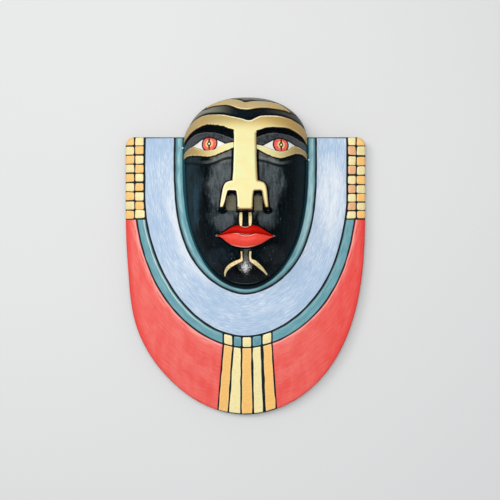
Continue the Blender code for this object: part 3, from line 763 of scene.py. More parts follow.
def panel(shell, edge_a, edge_b, surface, rounds, along, across, lift=0.0, crown=0.0, skirt=None, mark=0.0):
    """A raised panel between two edges: a grid of places from edge a straight across to edge b,
    set on a surface and moved out by the lift, plus a crown c (1 - (2 t - 1)^2) over the width's
    share t, less a quarter circle at each side and end; then straight down to the skirt, or where
    none is given to the back plane. Nothing goes behind the back plane."""
    length = measure(surface(0.5 * (edge_a + edge_b))[0])[-1]
    distance, start, end = stations(length, rounds[2], rounds[3], along)
    distance = distance[0]
    plan_a = at_index(edge_a, distance / length)
    plan_b = at_index(edge_b, distance / length)
    width = np.linalg.norm(surface(plan_a)[0] - surface(plan_b)[0], axis=1)
    reach, side_a, side_b = stations(np.maximum(width, LEAST_WIDTH), rounds[0], rounds[1], across)
    rest = reach[:, -1:] - reach
    share = (reach / reach[:, -1:])[..., None]
    places = plan_a[:, None, :] * (1.0 - share) + plan_b[:, None, :] * share
    points, normals, fade = surface(places)
    start, end, side_a, side_b = (np.maximum(radius, LEAST_ROUND) for radius in (start, end, side_a, side_b))
    drop = rounded(reach, side_a) + rounded(rest, side_b)
    drop = drop + (rounded(distance, start[0, 0]) + rounded(length - distance, end[0, 0]))[:, None]
    height = lift * fade + crown * (1.0 - (2.0 * share[..., 0] - 1.0) ** 2) - drop
    top = points + normals * height[..., None]
    foot = points[:, (0, -1)]
    foot = foot * (1.0, 1.0, 0.0) if skirt is None else foot - normals[:, (0, -1)] * skirt
    top[..., 2] = np.maximum(top[..., 2], 0.0)
    foot[..., 2] = np.maximum(foot[..., 2], 0.0)
    loop = np.concatenate([foot[:, :1], top, foot[:, 1:]], axis=1)
    ends = np.minimum(distance, length - distance)[:, None]
    inside = np.minimum(np.minimum(reach, rest), ends)
    lay = np.stack([np.broadcast_to(distance[:, None], reach.shape), reach, rest], axis=-1)
    wall = np.linalg.norm(foot - top[:, (0, -1)], axis=-1) + drop[:, (0, -1)]
    drop = np.concatenate([wall[:, :1], drop, wall[:, 1:]], axis=1)
    shell.add(loop, with_walls(lay) * MM, drop * MM, with_walls(inside) * MM, (True, True), mark)


def at_index(line, shares):
    """Points of an evenly spaced line at shares of its count, so that two edges stay matched."""
    place = shares * (len(line) - 1)
    index = np.arange(len(line))
    return np.stack([np.interp(place, index, line[:, k]) for k in range(line.shape[1])], axis=1)


def tile(shell, corners, surface, hand, lift, power, mark, edge_round=0.0010, uneven=0.035, limit=None):
    """A pillow: rings of a superellipse |s|^p + |t|^p = k^p, its reach made uneven by three random
    waves, spread between four corners, lifted by a crown c (1 - k^2), less a quarter circle at the
    edge; then straight down to the skirt."""
    turn = np.linspace(0.0, 2 * np.pi, TILE_AROUND, endpoint=False) + 0.25 * np.pi
    ray = np.stack([np.cos(turn), np.sin(turn)], axis=1)
    ray /= (np.abs(ray) ** power).sum(axis=1, keepdims=True) ** (1.0 / power)
    waves = np.cos(np.arange(2, 5)[:, None] * turn + hand.uniform(0.0, 2 * np.pi, (3, 1)))
    ray *= 1.0 - uneven * (0.6 + (waves * hand.uniform(0.0, 0.4, (3, 1))).sum(axis=0))[:, None]
    half = 0.25 * (np.linalg.norm(corners[1] - corners[0]) + np.linalg.norm(corners[2] - corners[1]))
    round_share = edge_round / half
    flat, edge = np.linspace(0.0, 1.0 - round_share, TILE_RINGS), (1.0 - round_share * QUARTER)[::-1]
    ring = np.concatenate([flat, edge[1:]])
    grid = ring[:, None, None] * ray
    s, t = 0.5 + 0.5 * grid[..., :1], 0.5 + 0.5 * grid[..., 1:]
    places = ((corners[0] * (1 - s) + corners[1] * s) * (1 - t) + (corners[3] * (1 - s) + corners[2] * s) * t)
    if limit is not None:
        places = limit(places)
    points, normals, fade = surface(places)
    drop = rounded((1.0 - ring) * half, edge_round)[:, None] * np.ones(TILE_AROUND)
    height = lift * fade + TILE_CROWN * (1.0 - ring[:, None] ** 2) - drop
    top = points + normals * height[..., None]
    foot = points[-1:] - normals[-1:] * SKIRT
    foot[..., 2] = np.minimum(foot[..., 2], top[-1:, :, 2] - TILE_WALL)
    inside = ((1.0 - ring) * half)[:, None] * np.ones(TILE_AROUND)
    shell.add(np.concatenate([top, foot]), 0.0, np.concatenate([drop, drop[-1:] + SKIRT]) * MM,
              np.concatenate([inside, inside[-1:]]) * MM, (False, True), mark)


# Finishes

class Finish:
    """A painted finish, made of the shader nodes of one material. Each coat is laid over the last."""

    def __init__(self, name, colour, roughness=0.42, specular=0.4):
        self.material = bpy.data.materials.new(name)
        self.material.use_nodes = True
        self.tree = self.material.node_tree
        self.shader = self.tree.nodes["Principled BSDF"]
        self.shader.inputs["Roughness"].default_value = roughness
        self.shader.inputs["Specular IOR Level"].default_value = specular
        self.colour = colour
        self.place = self.add("TexCoord").outputs["Object"]
        self.x, self.y, self.z = self.add("SeparateXYZ", {0: self.place}).outputs

    def add(self, kind, inputs=None, **settings):
        """A new node, with its settings made and its sockets fed."""
        node = self.tree.nodes.new("ShaderNode" + kind)
        for key, value in settings.items():
            setattr(node, key, value)
        for key, value in (inputs or {}).items():
            self.feed(node.inputs[key], value)
        return node

    def feed(self, socket, value):
        """Link a socket to another node's output, or set a plain value on it."""
        if isinstance(value, bpy.types.NodeSocket):
            self.tree.links.new(value, socket)
        else:
            socket.default_value = value

    def read(self, name):
        """A number that the mesh carries at each point."""
        return self.add("Attribute", attribute_name=name).outputs["Fac"]

    def read_parts(self, name):
        """The three numbers of a vector that the mesh carries at each point."""
        vector = self.add("Attribute", attribute_name=name).outputs["Vector"]
        return self.add("SeparateXYZ", {0: vector}).outputs

    def read_lay(self):
        """Distances in mm from a panel's two edges; its lay is kept for brushed noise."""
        self.lay = self.add("Attribute", attribute_name="lay").outputs["Vector"]
        return self.add("SeparateXYZ", {0: self.lay}).outputs[1:]

    def calc(self, operation, a, b=0.0):
        """One sum on two values, or on the first alone."""
        return self.add("Math", {0: a, 1: b}, operation=operation).outputs[0]

    def chain(self, operation, parts):
        """The same sum over all the parts."""
        total = parts[0]
        for part in parts[1:]:
            total = self.calc(operation, total, part)
        return total

    def times(self, *factors):
        """The product of the factors."""
        return self.chain("MULTIPLY", factors)

    def sum(self, *parts):
        """The sum of the parts."""
        return self.chain("ADD", parts)

    def most(self, *parts):
        """The greatest of the parts."""
        return self.chain("MAXIMUM", parts)

    def size(self, value):
        """A value without its sign."""
        return self.calc("ABSOLUTE", value)

    def blend(self, *weighted):
        """The sum of values, each times its weight."""
        return self.sum(*(self.times(value, weight) for value, weight in weighted))

    def step(self, value, low, high, start=0.0, end=1.0):
        """An eased change from start to end while the value goes from low to high."""
        inputs = {"Value": value, "From Min": low, "From Max": high, "To Min": start, "To Max": end}
        return self.add("MapRange", inputs, interpolation_type="SMOOTHSTEP").outputs["Result"]

    def span(self, value, rise, fall):
        """1 where a value is past its rise and short of its fall, each given as where it is 0 and
        where it is 1, and eased between them."""
        return self.times(self.step(value, *rise), self.step(value, *fall))

    def offsets(self, x, y, half_width, half_length):
        """How far across and up from a place of the front, as shares of a half width and length."""
        return (self.calc("MULTIPLY", self.calc("SUBTRACT", self.x, x), 1.0 / half_width),
                self.calc("MULTIPLY", self.calc("SUBTRACT", self.y, y), 1.0 / half_length))

    def blob(self, x, y, half_width, half_length, core=0.0):
        """1 at a place of the front, easing to 0 on an ellipse round it."""
        across, up = self.offsets(x, y, half_width, half_length)
        return self.step(self.sum(self.times(across, across), self.times(up, up)), 1.0, core)

    def peak(self, x, y, half_width, half_length, crumble):
        """1 at a place of the front, easing to 0 on a diamond round it, whose edge the crumble
        moves in and out."""
        across, up = self.offsets(x, y, half_width, half_length)
        return self.step(self.sum(self.size(across), self.size(up), crumble), 1.0, 0.0)

    def noise(self, scale, stretch=(1.0, 1.0, 1.0), source=None, detail=3.0, roughness=0.55, shift=0.0):
        """Noise from 0 to 1 over the object, or over another vector, drawn out along some axes."""
        inputs = {0: source or self.place, 1: stretch, 2: (shift, shift, shift)}
        vector = self.add("VectorMath", inputs, operation="MULTIPLY_ADD").outputs[0]
        inputs = {"Vector": vector, "Scale": scale, "Detail": detail, "Roughness": roughness}
        return self.add("TexNoise", inputs).outputs["Fac"]

    def brushed(self, along, across, detail, roughness, shift=0.0):
        """Noise drawn out along a panel, with its scale per mm along and across."""
        return self.noise(1.0, (along, across, 0.0), self.lay, detail, roughness, shift)

    def behind(self, torn):
        """1 within about a millimetre of the back plane, torn by a noise."""
        return self.step(self.sum(self.z, self.times(torn, 0.0016)), 0.0016, 0.0010)

    def mix(self, share, under, over):
        """One colour over another by a share."""
        node = self.add("Mix", data_type="RGBA")
        self.feed(node.inputs[0], share)
        self.feed(node.inputs[6], under)
        self.feed(node.inputs[7], over)
        return node.outputs[2]

    def coat(self, colour, *shares):
        """Lay a colour over what is there, by the product of the shares."""
        self.colour = self.mix(self.times(*shares), self.colour, colour)

    def done(self, height=None, strength=0.0, distance=0.0, roughness=None):
        """Join the colour, and where given the bump and the roughness, to the shader."""
        self.feed(self.shader.inputs["Base Color"], self.colour)
        if roughness is not None:
            self.feed(self.shader.inputs["Roughness"], roughness)
        if height is not None:
            bump = self.add("Bump", {"Height": height, "Strength": strength, "Distance": distance})
            self.feed(self.shader.inputs["Normal"], bump.outputs[0])
        return self.material


def colours():
    """The scene's colour settings."""
    return bpy.context.scene.mask_colours


def sizes():
    """The scene's length settings."""
    return bpy.context.scene.mask_sizes


def shade(colour, factor):
    """A colour made darker or lighter by a factor."""
    return tuple(value * factor for value in tuple(colour)[:3]) + (1.0,)


def blue_finish():
    """Blue brushed along the band over white: fine streaks, scratches and cloudy patches, a painted
    reflection, nearly white, halfway down both sides, and a pale grey painted highlight where it meets the
    lines."""
    tone = colours()
    paint = Finish("blue_paint", tone.blue, specular=0.25)
    inner, _ = paint.read_lay()
    fine = paint.brushed(0.07, 1.2, 5.0, 0.70)
    patch = paint.brushed(0.035, 0.16, 3.0, 0.6, 7.0)
    scratch = paint.brushed(0.11, 1.05, 4.0, 0.6, 11.0)
    cloud = paint.noise(24.0, detail=2.0, shift=3.0)
    grain = paint.noise(1100.0, detail=2.0)
    thin = paint.blend((fine, 0.46), (patch, 0.27), (cloud, 0.27))
    paint.coat(tone.blue_light, paint.step(thin, 0.42, 0.62, 0.0, 0.45))
    paint.coat(tint(218, 228, 240), paint.step(scratch, 0.52, 0.62),
               paint.step(cloud, 0.35, 0.60, 0.30, 0.85))
    paint.coat(shade(tone.blue, 0.84), paint.step(scratch, 0.46, 0.36, 0.0, 0.50))
    # Painted reflection, nearly white, halfway down both sides.
    reflection_left = paint.times(paint.span(paint.y, (-0.045, -0.005), (0.100, 0.050)),
                              paint.step(paint.x, 0.0, -0.02), paint.step(inner, 17.0, 3.0))
    reflection_right = paint.blob(0.0935, 0.062, 0.022, 0.056)
    torn = paint.blend((fine, 0.35), (patch, 0.35), (scratch, 0.30))
    paint.coat(tint(232, 237, 243), paint.most(reflection_left, reflection_right),
               paint.step(torn, 0.36, 0.56, 0.22, 1.0), 0.80)
    paint.coat(tint(150, 172, 196), paint.step(grain, 0.58, 0.80, 0.0, 0.18))
    # Painted highlight where the band meets the lines.
    paint.coat(tint(226, 232, 236), paint.step(paint.read("edge"), 1.3, 0.3),
               paint.step(fine, 0.40, 0.62, 0.1, 0.55))
    paint.coat(shade(tone.black, 0.9), paint.step(paint.read("drop"), 0.45, 0.75))
    return paint.done(fine, 0.14, 0.0004, paint.step(fine, 0.3, 0.7, 0.34, 0.50))


def teal_finish(name, at_head):
    """Teal, grey-green down the slope that faces the blue. The inner band has a painted highlight above that
    slope and is painted paler on its right, with painted shade and black paint at the head's foot and
    chips there at the temples; the outer one has a thin painted highlight along its slope, mostly on the
    left."""
    tone, slope = colours(), sizes().band_slope * MM
    paint = Finish(name, tone.teal, specular=0.03 if at_head else 0.14)
    inner, outer = paint.read_lay()
    drop = paint.read("drop")
    fine = paint.brushed(0.07, 1.0, 4.0, 0.65)
    patch = paint.brushed(0.05, 0.25, 3.0, 0.6, 5.0)
    grain = paint.noise(900.0)
    thin = paint.blend((fine, 0.45), (patch, 0.30), (grain, 0.25))
    paint.coat(tone.teal_light, paint.step(thin, 0.42, 0.62, 0.0, 0.7))
    paint.coat(shade(tone.teal, 0.6), paint.step(grain, 0.54, 0.70, 0.0, 0.4))
    if at_head:
        # Painted light on the inner band's right.
        paint.coat(tint(166, 202, 208), paint.step(paint.x, 0.030, 0.050),
                   paint.span(paint.y, (0.0, 0.030), (0.105, 0.085)),
                   paint.step(patch, 0.34, 0.60, 0.35, 0.9))
        # Painted highlight above the slope.
        paint.coat(tint(180, 214, 220),
                   paint.span(inner, (1.0 * slope, 2.0 * slope), (4.2 * slope, 2.3 * slope)),
                   paint.step(patch, 0.34, 0.62, 0.2, 0.62), paint.step(paint.y, -0.030, 0.010, 0.4, 1.0))
        paint.coat(tint(88, 120, 126), paint.step(inner, 1.6 * slope, 0.8 * slope, 0.0, 0.5))
    else:
        # Painted highlight along the outer band's slope, mostly on the left.
        paint.coat(tint(218, 228, 220),
                   paint.span(inner, (0.75 * slope, 1.1 * slope), (1.9 * slope, 1.35 * slope)),
                   paint.step(paint.y, -0.095, -0.060), paint.step(paint.x, 0.060, -0.040, 0.2, 1.0),
                   paint.step(fine, 0.36, 0.56, 0.4, 1.0), 0.9)
    paint.coat(tint(88, 116, 120), paint.step(drop, 0.10, 0.55, 0.0, 0.9))
    paint.coat(shade(tone.black, 0.9), paint.step(drop, 0.7, 1.3))
    if at_head:
        teal_foot(paint, outer, patch, grain)
    return paint.done(fine, 0.14, 0.0004)


def teal_foot(paint, outer, patch, grain):
    """Painted shade and black paint at the foot of the head on the inner teal band, wider and deeper
    under the chin and a little so on the right, with the two white chips at the temples."""
    below = paint.step(paint.y, 0.004, -0.030)
    reach = paint.sum(outer, paint.times(patch, 0.8), paint.step(paint.x, -0.012, 0.012, 0.0, -0.2),
                      paint.times(below, -1.3))
    # Painted shade and black paint at the head's foot, darkest under the chin.
    paint.coat(tint(24, 66, 78), paint.step(reach, 8.1, 6.9))
    paint.coat(tint(2, 20, 28), paint.step(reach, 7.2, 6.0),
               paint.most(below, paint.step(paint.x, -0.012, 0.012, 0.0, 0.6)))
    for x, y in TEMPLE_CHIPS:
        chip = paint.sum(paint.blob(x, y, 0.0013, 0.0011), paint.times(grain, 0.5))
        paint.coat(colours().body_white, paint.step(chip, 0.50, 0.80, 0.0, 0.85))


def red_finish():
    """Red laid on in long strokes, pinkish along the teal, partly rubbed and partly a painted highlight,
    with a thin painted highlight on its rounded edge there, deeper at the rim and on the right, with one pale
    fleck."""
    tone = colours()
    paint = Finish("red_paint", tone.red, specular=0.20)
    inner, outer = paint.read_lay()
    fine = paint.brushed(0.05, 1.1, 5.0, 0.70)
    patch = paint.brushed(0.022, 0.07, 3.0, 0.6, 3.0)
    stroke = paint.noise(230.0, (0.55, 0.16, 1.0), shift=4.0)
    grain = paint.noise(1000.0, detail=2.0)
    thin = paint.blend((fine, 0.48), (stroke, 0.26), (patch, 0.26))
    paint.coat(tone.red_light, paint.step(thin, 0.38, 0.62, 0.0, 0.80))
    paint.coat(tint(234, 58, 54), paint.step(paint.x, 0.055, 0.110, 0.0, 0.65),
               paint.step(fine, 0.62, 0.38, 0.4, 1.0))
    paint.coat(tint(228, 56, 51), paint.step(outer, 9.5, 3.0), paint.step(paint.y, -0.165, -0.060, 0.3, 1.0),
               paint.step(fine, 0.66, 0.36, 0.7, 1.0), 0.85)
    # Pinkish along the teal: partly rubbed, partly a painted highlight.
    paint.coat(tint(252, 172, 160), paint.step(inner, 9.0, 1.0), paint.step(fine, 0.40, 0.62),
               paint.step(paint.x, 0.02, -0.05, 0.45, 0.85))
    # Painted highlight on the rounded edge along the teal.
    paint.coat(tint(244, 172, 164), paint.span(inner, (0.3, 0.8), (2.6, 1.2)),
               paint.step(patch, 0.32, 0.60, 0.35, 0.9))
    away = paint.add("VectorMath", {0: paint.place, 1: RED_FLECK}, operation="DISTANCE").outputs["Value"]
    paint.coat(tint(252, 196, 186), paint.step(away, 0.0016, 0.0008, 0.0, 0.75))
    paint.coat(shade(tone.red, 0.72), paint.step(grain, 0.60, 0.80, 0.0, 0.22))
    paint.coat(shade(tone.black, 0.9), paint.step(paint.read("drop"), 1.5, 2.6))
    return paint.done(fine, 0.14, 0.0004, paint.step(fine, 0.3, 0.7, 0.34, 0.50))


def tile_finish(piece):
    """Hand-painted tile: another tone towards its edges, partly paint and partly a painted highlight on
    the rounded edges, mottled, each one a little different, with specks of the black ground."""
    name, key, edge_tone_and_highlight, dull, shift, edge_share = TILE_PAINTS[piece]
    base = getattr(colours(), key)
    paint = Finish(name, base)
    mottle = paint.noise(420.0, detail=4.0, roughness=0.6, shift=shift)
    grain = paint.noise(1300.0, detail=2.0, shift=shift)
    paint.coat(shade(base, 0.80), paint.step(mottle, 0.38, 0.68, 0.0, 0.5))
    paint.coat(tint(*dull), paint.read("mark"), 0.5)
    # Paler towards the edges: partly paint, partly a painted highlight.
    near = paint.sum(paint.read("edge"), paint.times(mottle, 1.4))
    paint.coat(tint(*edge_tone_and_highlight), paint.step(near, 2.4, 1.0), edge_share)
    paint.coat(shade(base, 0.35), paint.step(grain, 0.66, 0.76, 0.0, 0.6))
    ragged = paint.sum(paint.read("drop"), paint.times(grain, 0.7))
    paint.coat(shade(colours().black, 0.8), paint.step(ragged, 0.75, 1.05))
    return paint.done(mottle, 0.25, 0.0004)


def ground_finish():
    """Black line paint between the bands, with the unpainted cast behind."""
    tone = colours()
    paint = Finish("line_black", shade(tone.black, 0.7), roughness=0.5, specular=0.10)
    dust = paint.noise(500.0)
    paint.coat(tint(62, 74, 74), paint.step(dust, 0.48, 0.8, 0.0, 0.4))
    paint.coat(tone.body_white, paint.behind(dust))
    return paint.done(dust, 0.2, 0.0003)


def head_finish():
    """Satin black with a blue cast, greyer where painted sheen lies, with painted shade at the jaw and down
    the right side, painted shade in the folds and under the brow, dark lines, and bare cast inside and
    behind."""
    tone = colours()
    paint = Finish("head_black", shade(tone.black, 0.20), roughness=0.40, specular=0.022)
    streak = paint.noise(330.0, (1.7, 0.28, 1.0), detail=5.0, roughness=0.7)
    mottle = paint.noise(620.0, detail=5.0, roughness=0.75, shift=3.0)
    cloud = paint.noise(30.0, detail=2.0, shift=9.0)
    grain = paint.noise(1200.0, detail=2.0)
    uneven = paint.step(paint.blend((streak, 0.5), (mottle, 0.5)), 0.32, 0.66, 0.34, 1.0)
    paint.coat(shade(tone.black, 0.62), paint.step(cloud, 0.38, 0.66))
    paint.coat(shade(tone.black, 2.4), paint.step(streak, 0.50, 0.72, 0.0, 0.55))
    # Painted shade over the jaw and down the right side.
    shaded = paint.most(paint.step(paint.y, 0.004, -0.022), paint.step(paint.x, 0.042, 0.058, 0.0, 0.8))
    paint.coat(shade(tone.black, 0.05), shaded, 0.85)
    head_sheen(paint, uneven)
    head_top(paint, mottle)
    head_folds(paint, uneven)
    head_lines(paint, mottle)
    chin_light(paint, mottle, grain)
    paint.coat(tint(104, 110, 112), paint.step(grain, 0.66, 0.76, 0.0, 0.55))
    paint.coat(tone.body_white, paint.most(paint.read("mark"), paint.behind(mottle)))
    return paint.done(mottle, 0.22, 0.0006, paint.step(mottle, 0.3, 0.7, 0.32, 0.50))


def head_sheen(paint, uneven):
    """Painted sheen, and painted reflections of the blue collar on the cheeks, torn at their edges."""
    drift = paint.noise(100.0, (1.5, 0.6, 1.0), detail=4.0, roughness=0.65, shift=17.0)
    drift = paint.step(drift, 0.3, 0.7, 0.0, 0.9)
    for x, y, half_width, half_length, core, share, grey in HEAD_SHEEN_PATCHES:
        patch = paint.blob(x, y, half_width, half_length, core)
        paint.coat(tint(*grey), paint.step(paint.sum(patch, drift), 0.5, 1.6), paint.step(patch, 0.0, 0.5),
                   uneven, share)


def head_top(paint, mottle):
    """A painted olive sheen between the brow and crown bands, more on the left, and a painted olive sheen
    over the cap above the crown band, with a dark line along that band."""
    over_brow, under_crown, over_crown = paint.read_parts("band")
    # Painted sheen on the black between the brow and crown bands.
    left = paint.times(paint.step(paint.x, -0.009, -0.044), 0.98)
    right = paint.times(paint.step(paint.x, 0.016, 0.052), 0.26)
    paint.coat(tint(146, 147, 132), paint.sum(left, right), paint.step(over_brow, 2.2, 4.4),
               paint.step(under_crown, 0.4, 1.3), paint.step(paint.z, 0.004, 0.020),
               paint.step(mottle, 0.25, 0.70, 0.7, 1.0))
    # Painted sheen over the cap; the dark line along the crown band is paint.
    cap = paint.times(paint.step(over_crown, -0.4, 0.0), paint.step(paint.z, 0.006, 0.024))
    paint.coat(tint(136, 132, 121), cap, 0.95)
    line = paint.sum(over_crown, paint.times(mottle, 0.8),
                     paint.step(paint.size(paint.x), 0.004, 0.014, -2.2, 0.0))
    paint.coat(tint(50, 36, 26), cap, paint.step(line, 3.5, 2.5))


def head_folds(paint, uneven):
    """A painted shade in the fold under each eye, with a painted highlight over its upper side."""
    fold = paint.read("fold")
    # Painted highlight over the fold's upper side.
    paint.coat(tint(124, 128, 124), paint.span(fold, (0.4, 1.8), (5.2, 3.2)), uneven,
               paint.step(paint.size(paint.x), 0.052, 0.030), 0.7)
    # Painted shade in the fold.
    paint.coat(shade(colours().black, 0.55), paint.step(paint.size(fold), 1.9, 0.8), 0.85)


def head_lines(paint, mottle):
    """Painted shade under the brow; black round the nose and round what else stands on the head; a painted
    olive sheen in the nostrils, above painted shadows at the feet of the nose and under its tip."""
    from_nose, under_brow, from_trim = paint.read_parts("near")
    side = paint.size(paint.x)
    dark = shade(colours().black, 0.22)
    # Painted shade under the brow.
    paint.coat(dark, paint.span(under_brow, (-1.0, 0.0), (9.0, 6.5)))
    paint.coat(dark, paint.step(from_nose, 2.6, 1.9))
    paint.coat(dark, paint.step(from_trim, 1.7, 1.0))
    # Painted olive sheen in the nostrils.
    outer_end = paint.step(paint.x, -0.004, 0.004, 0.0203, 0.0183)
    paint.coat(tint(126, 121, 98), paint.step(side, 0.0084, 0.0094),
               paint.step(paint.calc("SUBTRACT", outer_end, side), 0.0, 0.0014),
               paint.span(paint.y, (0.0456, 0.0476), (0.0618, 0.0606)),
               paint.step(mottle, 0.30, 0.58, 0.5, 1.0))
    # Painted shadows at the feet of the nose and under its tip.
    foot_shadows = [paint.blob(*foot, 0.5) for foot in NOSE_FOOT_SHADOWS]
    under = paint.times(paint.step(side, 0.0094, 0.0086),
                        paint.span(paint.y, (0.0436, 0.0444), (0.0600, 0.0560)))
    paint.coat(dark, paint.most(*foot_shadows, under))


def chin_light(paint, mottle, grain):
    """A painted highlight on the chin, a few grey dots on the lower face, a pale spot at each corner of the
    mouth, partly chipped paint and partly a painted highlight, and a dim painted highlight along the
    foot of the chin."""
    speckle = paint.step(paint.sum(mottle, paint.times(grain, 0.4)), 0.50, 0.74, 0.45, 1.0)
    crumble = paint.noise(560.0, detail=4.0, roughness=0.8, shift=31.0)
    crumble = paint.step(crumble, 0.25, 0.75, -0.55, 0.55)
    # Painted highlight on the chin.
    for x, y, half_width, half_length, share, grey in CHIN_SHINE:
        shine = paint.peak(x, y, half_width, half_length, crumble)
        paint.coat(tint(grey, grey, grey), shine, speckle, share)
    dots = paint.noise(480.0, detail=1.0, shift=23.0)
    paint.coat(tint(146, 148, 146), paint.step(dots, 0.72, 0.78),
               paint.blob(0.0, 0.010, 0.056, 0.060, 0.6), 0.6)
    # Pale spots at the mouth's corners: partly chips, partly painted highlights.
    for x, y in MOUTH_CORNERS:
        paint.coat(tint(206, 196, 184), paint.blob(x, y, 0.0024, 0.0012), 0.5)
    # Painted highlight along the foot of the chin.
    paint.coat(tint(104, 106, 104), paint.span(paint.z, (0.0320, 0.0335), (0.0362, 0.0348)),
               paint.step(paint.y, -0.020, -0.024), paint.step(paint.size(paint.x), 0.020, 0.006), 0.6)


def gold_base(paint):
    """Matte gold by place: pale down the nose and at the inner eyes as a painted reflection, khaki on the
    brow, browner towards the temples as painted shade, duller at the crown. Gives back its mottle and grain."""
    tone = colours()
    mottle = paint.noise(300.0, detail=4.0, shift=2.0)
    cloud = paint.noise(70.0, shift=5.0)
    grain = paint.noise(1300.0, detail=2.0)
    side = paint.size(paint.x)
    paint.coat(tone.khaki, paint.step(cloud, 0.36, 0.64))
    # Painted shade towards the temples.
    paint.coat(shade(tone.gold, 0.66), paint.step(side, 0.026, 0.062, 0.0, 0.75))
    paint.coat(shade(tone.gold, 0.80), paint.step(mottle, 0.50, 0.75, 0.0, 0.35))
    paint.coat(tint(188, 146, 64), paint.step(paint.x, 0.012, 0.040, 0.0, 0.75),
               paint.step(paint.y, 0.122, 0.127))
    paint.coat(tint(208, 188, 142), paint.step(paint.y, 0.1500, 0.1580, 0.0, 0.35))
    # Painted reflection, pale, down the nose and at the inner eyes.
    pale_reflection = paint.mix(paint.step(cloud, 0.34, 0.66), tone.pale_gold, tint(231, 231, 172))
    pale_reflection = paint.mix(paint.step(mottle, 0.50, 0.72, 0.0, 0.30), pale_reflection, tint(246, 216, 148))
    paint.coat(pale_reflection, paint.step(paint.y, 0.1430, 0.1270), paint.step(side, 0.056, 0.018))
    return mottle, grain


def gold_finish(name, lit=None, lit_span=(0.0, 0.0)):
    """Matte gold, brown down its rounded edges as painted shade and black down its sides, with painted
    highlights along its edges and a painted highlight along one edge, over a stretch of its width."""
    tone = colours()
    paint = Finish(name, tone.gold)
    edge = paint.read("edge")
    mottle, grain = gold_base(paint)
    # Painted highlights along the edges.
    edge_highlight = paint.times(paint.span(edge, (0.3, 0.7), (1.9, 1.0)), paint.step(mottle, 0.36, 0.60, 0.0, 0.35))
    if lit:
        inner, outer = paint.read_lay()
        start, end = lit_span
        line = paint.times(paint.span(outer if lit == "outer" else inner, (0.3, 0.6), (1.9, 1.3)),
                           paint.span(paint.x, (start - 0.006, start + 0.006), (end + 0.006, end - 0.006)),
                           paint.step(mottle, 0.30, 0.60, 0.5, 1.0))
        edge_highlight = paint.most(edge_highlight, line)
    paint.coat(tint(255, 246, 214), edge_highlight)
    paint.coat(tone.dark_gold, paint.step(grain, 0.70, 0.78, 0.0, 0.5))
    # Brown down the rounded edges is painted shade; black down the sides is paint.
    down = paint.sum(paint.read("drop"), paint.times(mottle, 0.5))
    paint.coat(tone.dark_gold, paint.step(down, 0.40, 0.80, 0.0, 0.9))
    paint.coat(shade(tone.black, 0.5), paint.step(down, 1.00, 1.45))
    return paint.done(mottle, 0.15, 0.0005, paint.step(mottle, 0.3, 0.7, 0.36, 0.50))


def nose_finish():
    """Pale gold, with a painted highlight along its left edges and painted shade in brown along its right
    ones and under the tip, with black sides."""
    tone = colours()
    paint = Finish("nose_gold", tone.gold, specular=0.35)
    rim = paint.read("rim")
    mottle, grain = gold_base(paint)
    paint.coat(tint(238, 208, 134), paint.step(paint.y, 0.066, 0.050, 0.0, 0.30))
    # Painted highlight along the left edges.
    right = paint.step(paint.x, -0.002, 0.006)
    paint.coat(tint(255, 250, 216), paint.span(rim, (0.4, 0.8), (2.2, 1.2)),
               paint.step(right, 1.0, 0.0, 0.15, 0.7))
    # Painted shade in brown along the right edges and under the tip.
    ragged = paint.sum(rim, paint.times(mottle, 0.8))
    low = paint.step(paint.y, 0.0500, 0.0482)
    shade_reach = paint.step(paint.y, 0.0720, 0.0780, 2.3, 3.6)
    paint.coat(tint(150, 106, 52), paint.most(paint.times(right, paint.step(ragged, shade_reach, 1.3), 0.75),
                                              paint.step(ragged, 1.15, 0.75, 0.0, 0.85),
                                              paint.times(low, paint.step(ragged, 2.6, 1.9), 0.95)))
    paint.coat(tone.dark_gold, paint.step(grain, 0.70, 0.78, 0.0, 0.5))
    black = shade(tone.black, 0.5)
    paint.coat(black, paint.most(paint.step(ragged, 0.85, 0.55),
                                 paint.times(low, paint.step(ragged, 1.25, 0.85))))
    paint.coat(black, paint.step(paint.read("drop"), 1.25, 1.45), paint.step(paint.y, 0.1300, 0.1270))
    return paint.done(mottle, 0.15, 0.0005, paint.step(mottle, 0.3, 0.7, 0.36, 0.50))


def stroke_finish():
    """Gold strokes, cream along their middle with a painted highlight, brown at their edges as painted shade,
    and black down their sides.
    """
    paint = Finish("stroke_gold", tint(248, 230, 168), specular=0.35)
    edge = paint.read("edge")
    mottle = paint.noise(500.0, detail=4.0, shift=2.0)
    paint.coat(tint(224, 192, 122), paint.step(mottle, 0.38, 0.66))
    # Painted highlight along the middle.
    paint.coat(tint(255, 244, 204), paint.step(edge, 0.5, 1.0), paint.step(mottle, 0.62, 0.44), 0.6)
    ragged = paint.sum(edge, paint.times(mottle, 0.9))
    # Painted shade in brown at the edges.
    paint.coat(tint(120, 84, 38), paint.step(ragged, 1.05, 0.72, 0.0, 0.9))
    paint.coat(shade(colours().black, 0.4), paint.step(paint.read("drop"), 0.35, 0.75))
    return paint.done(mottle, 0.15, 0.0004)


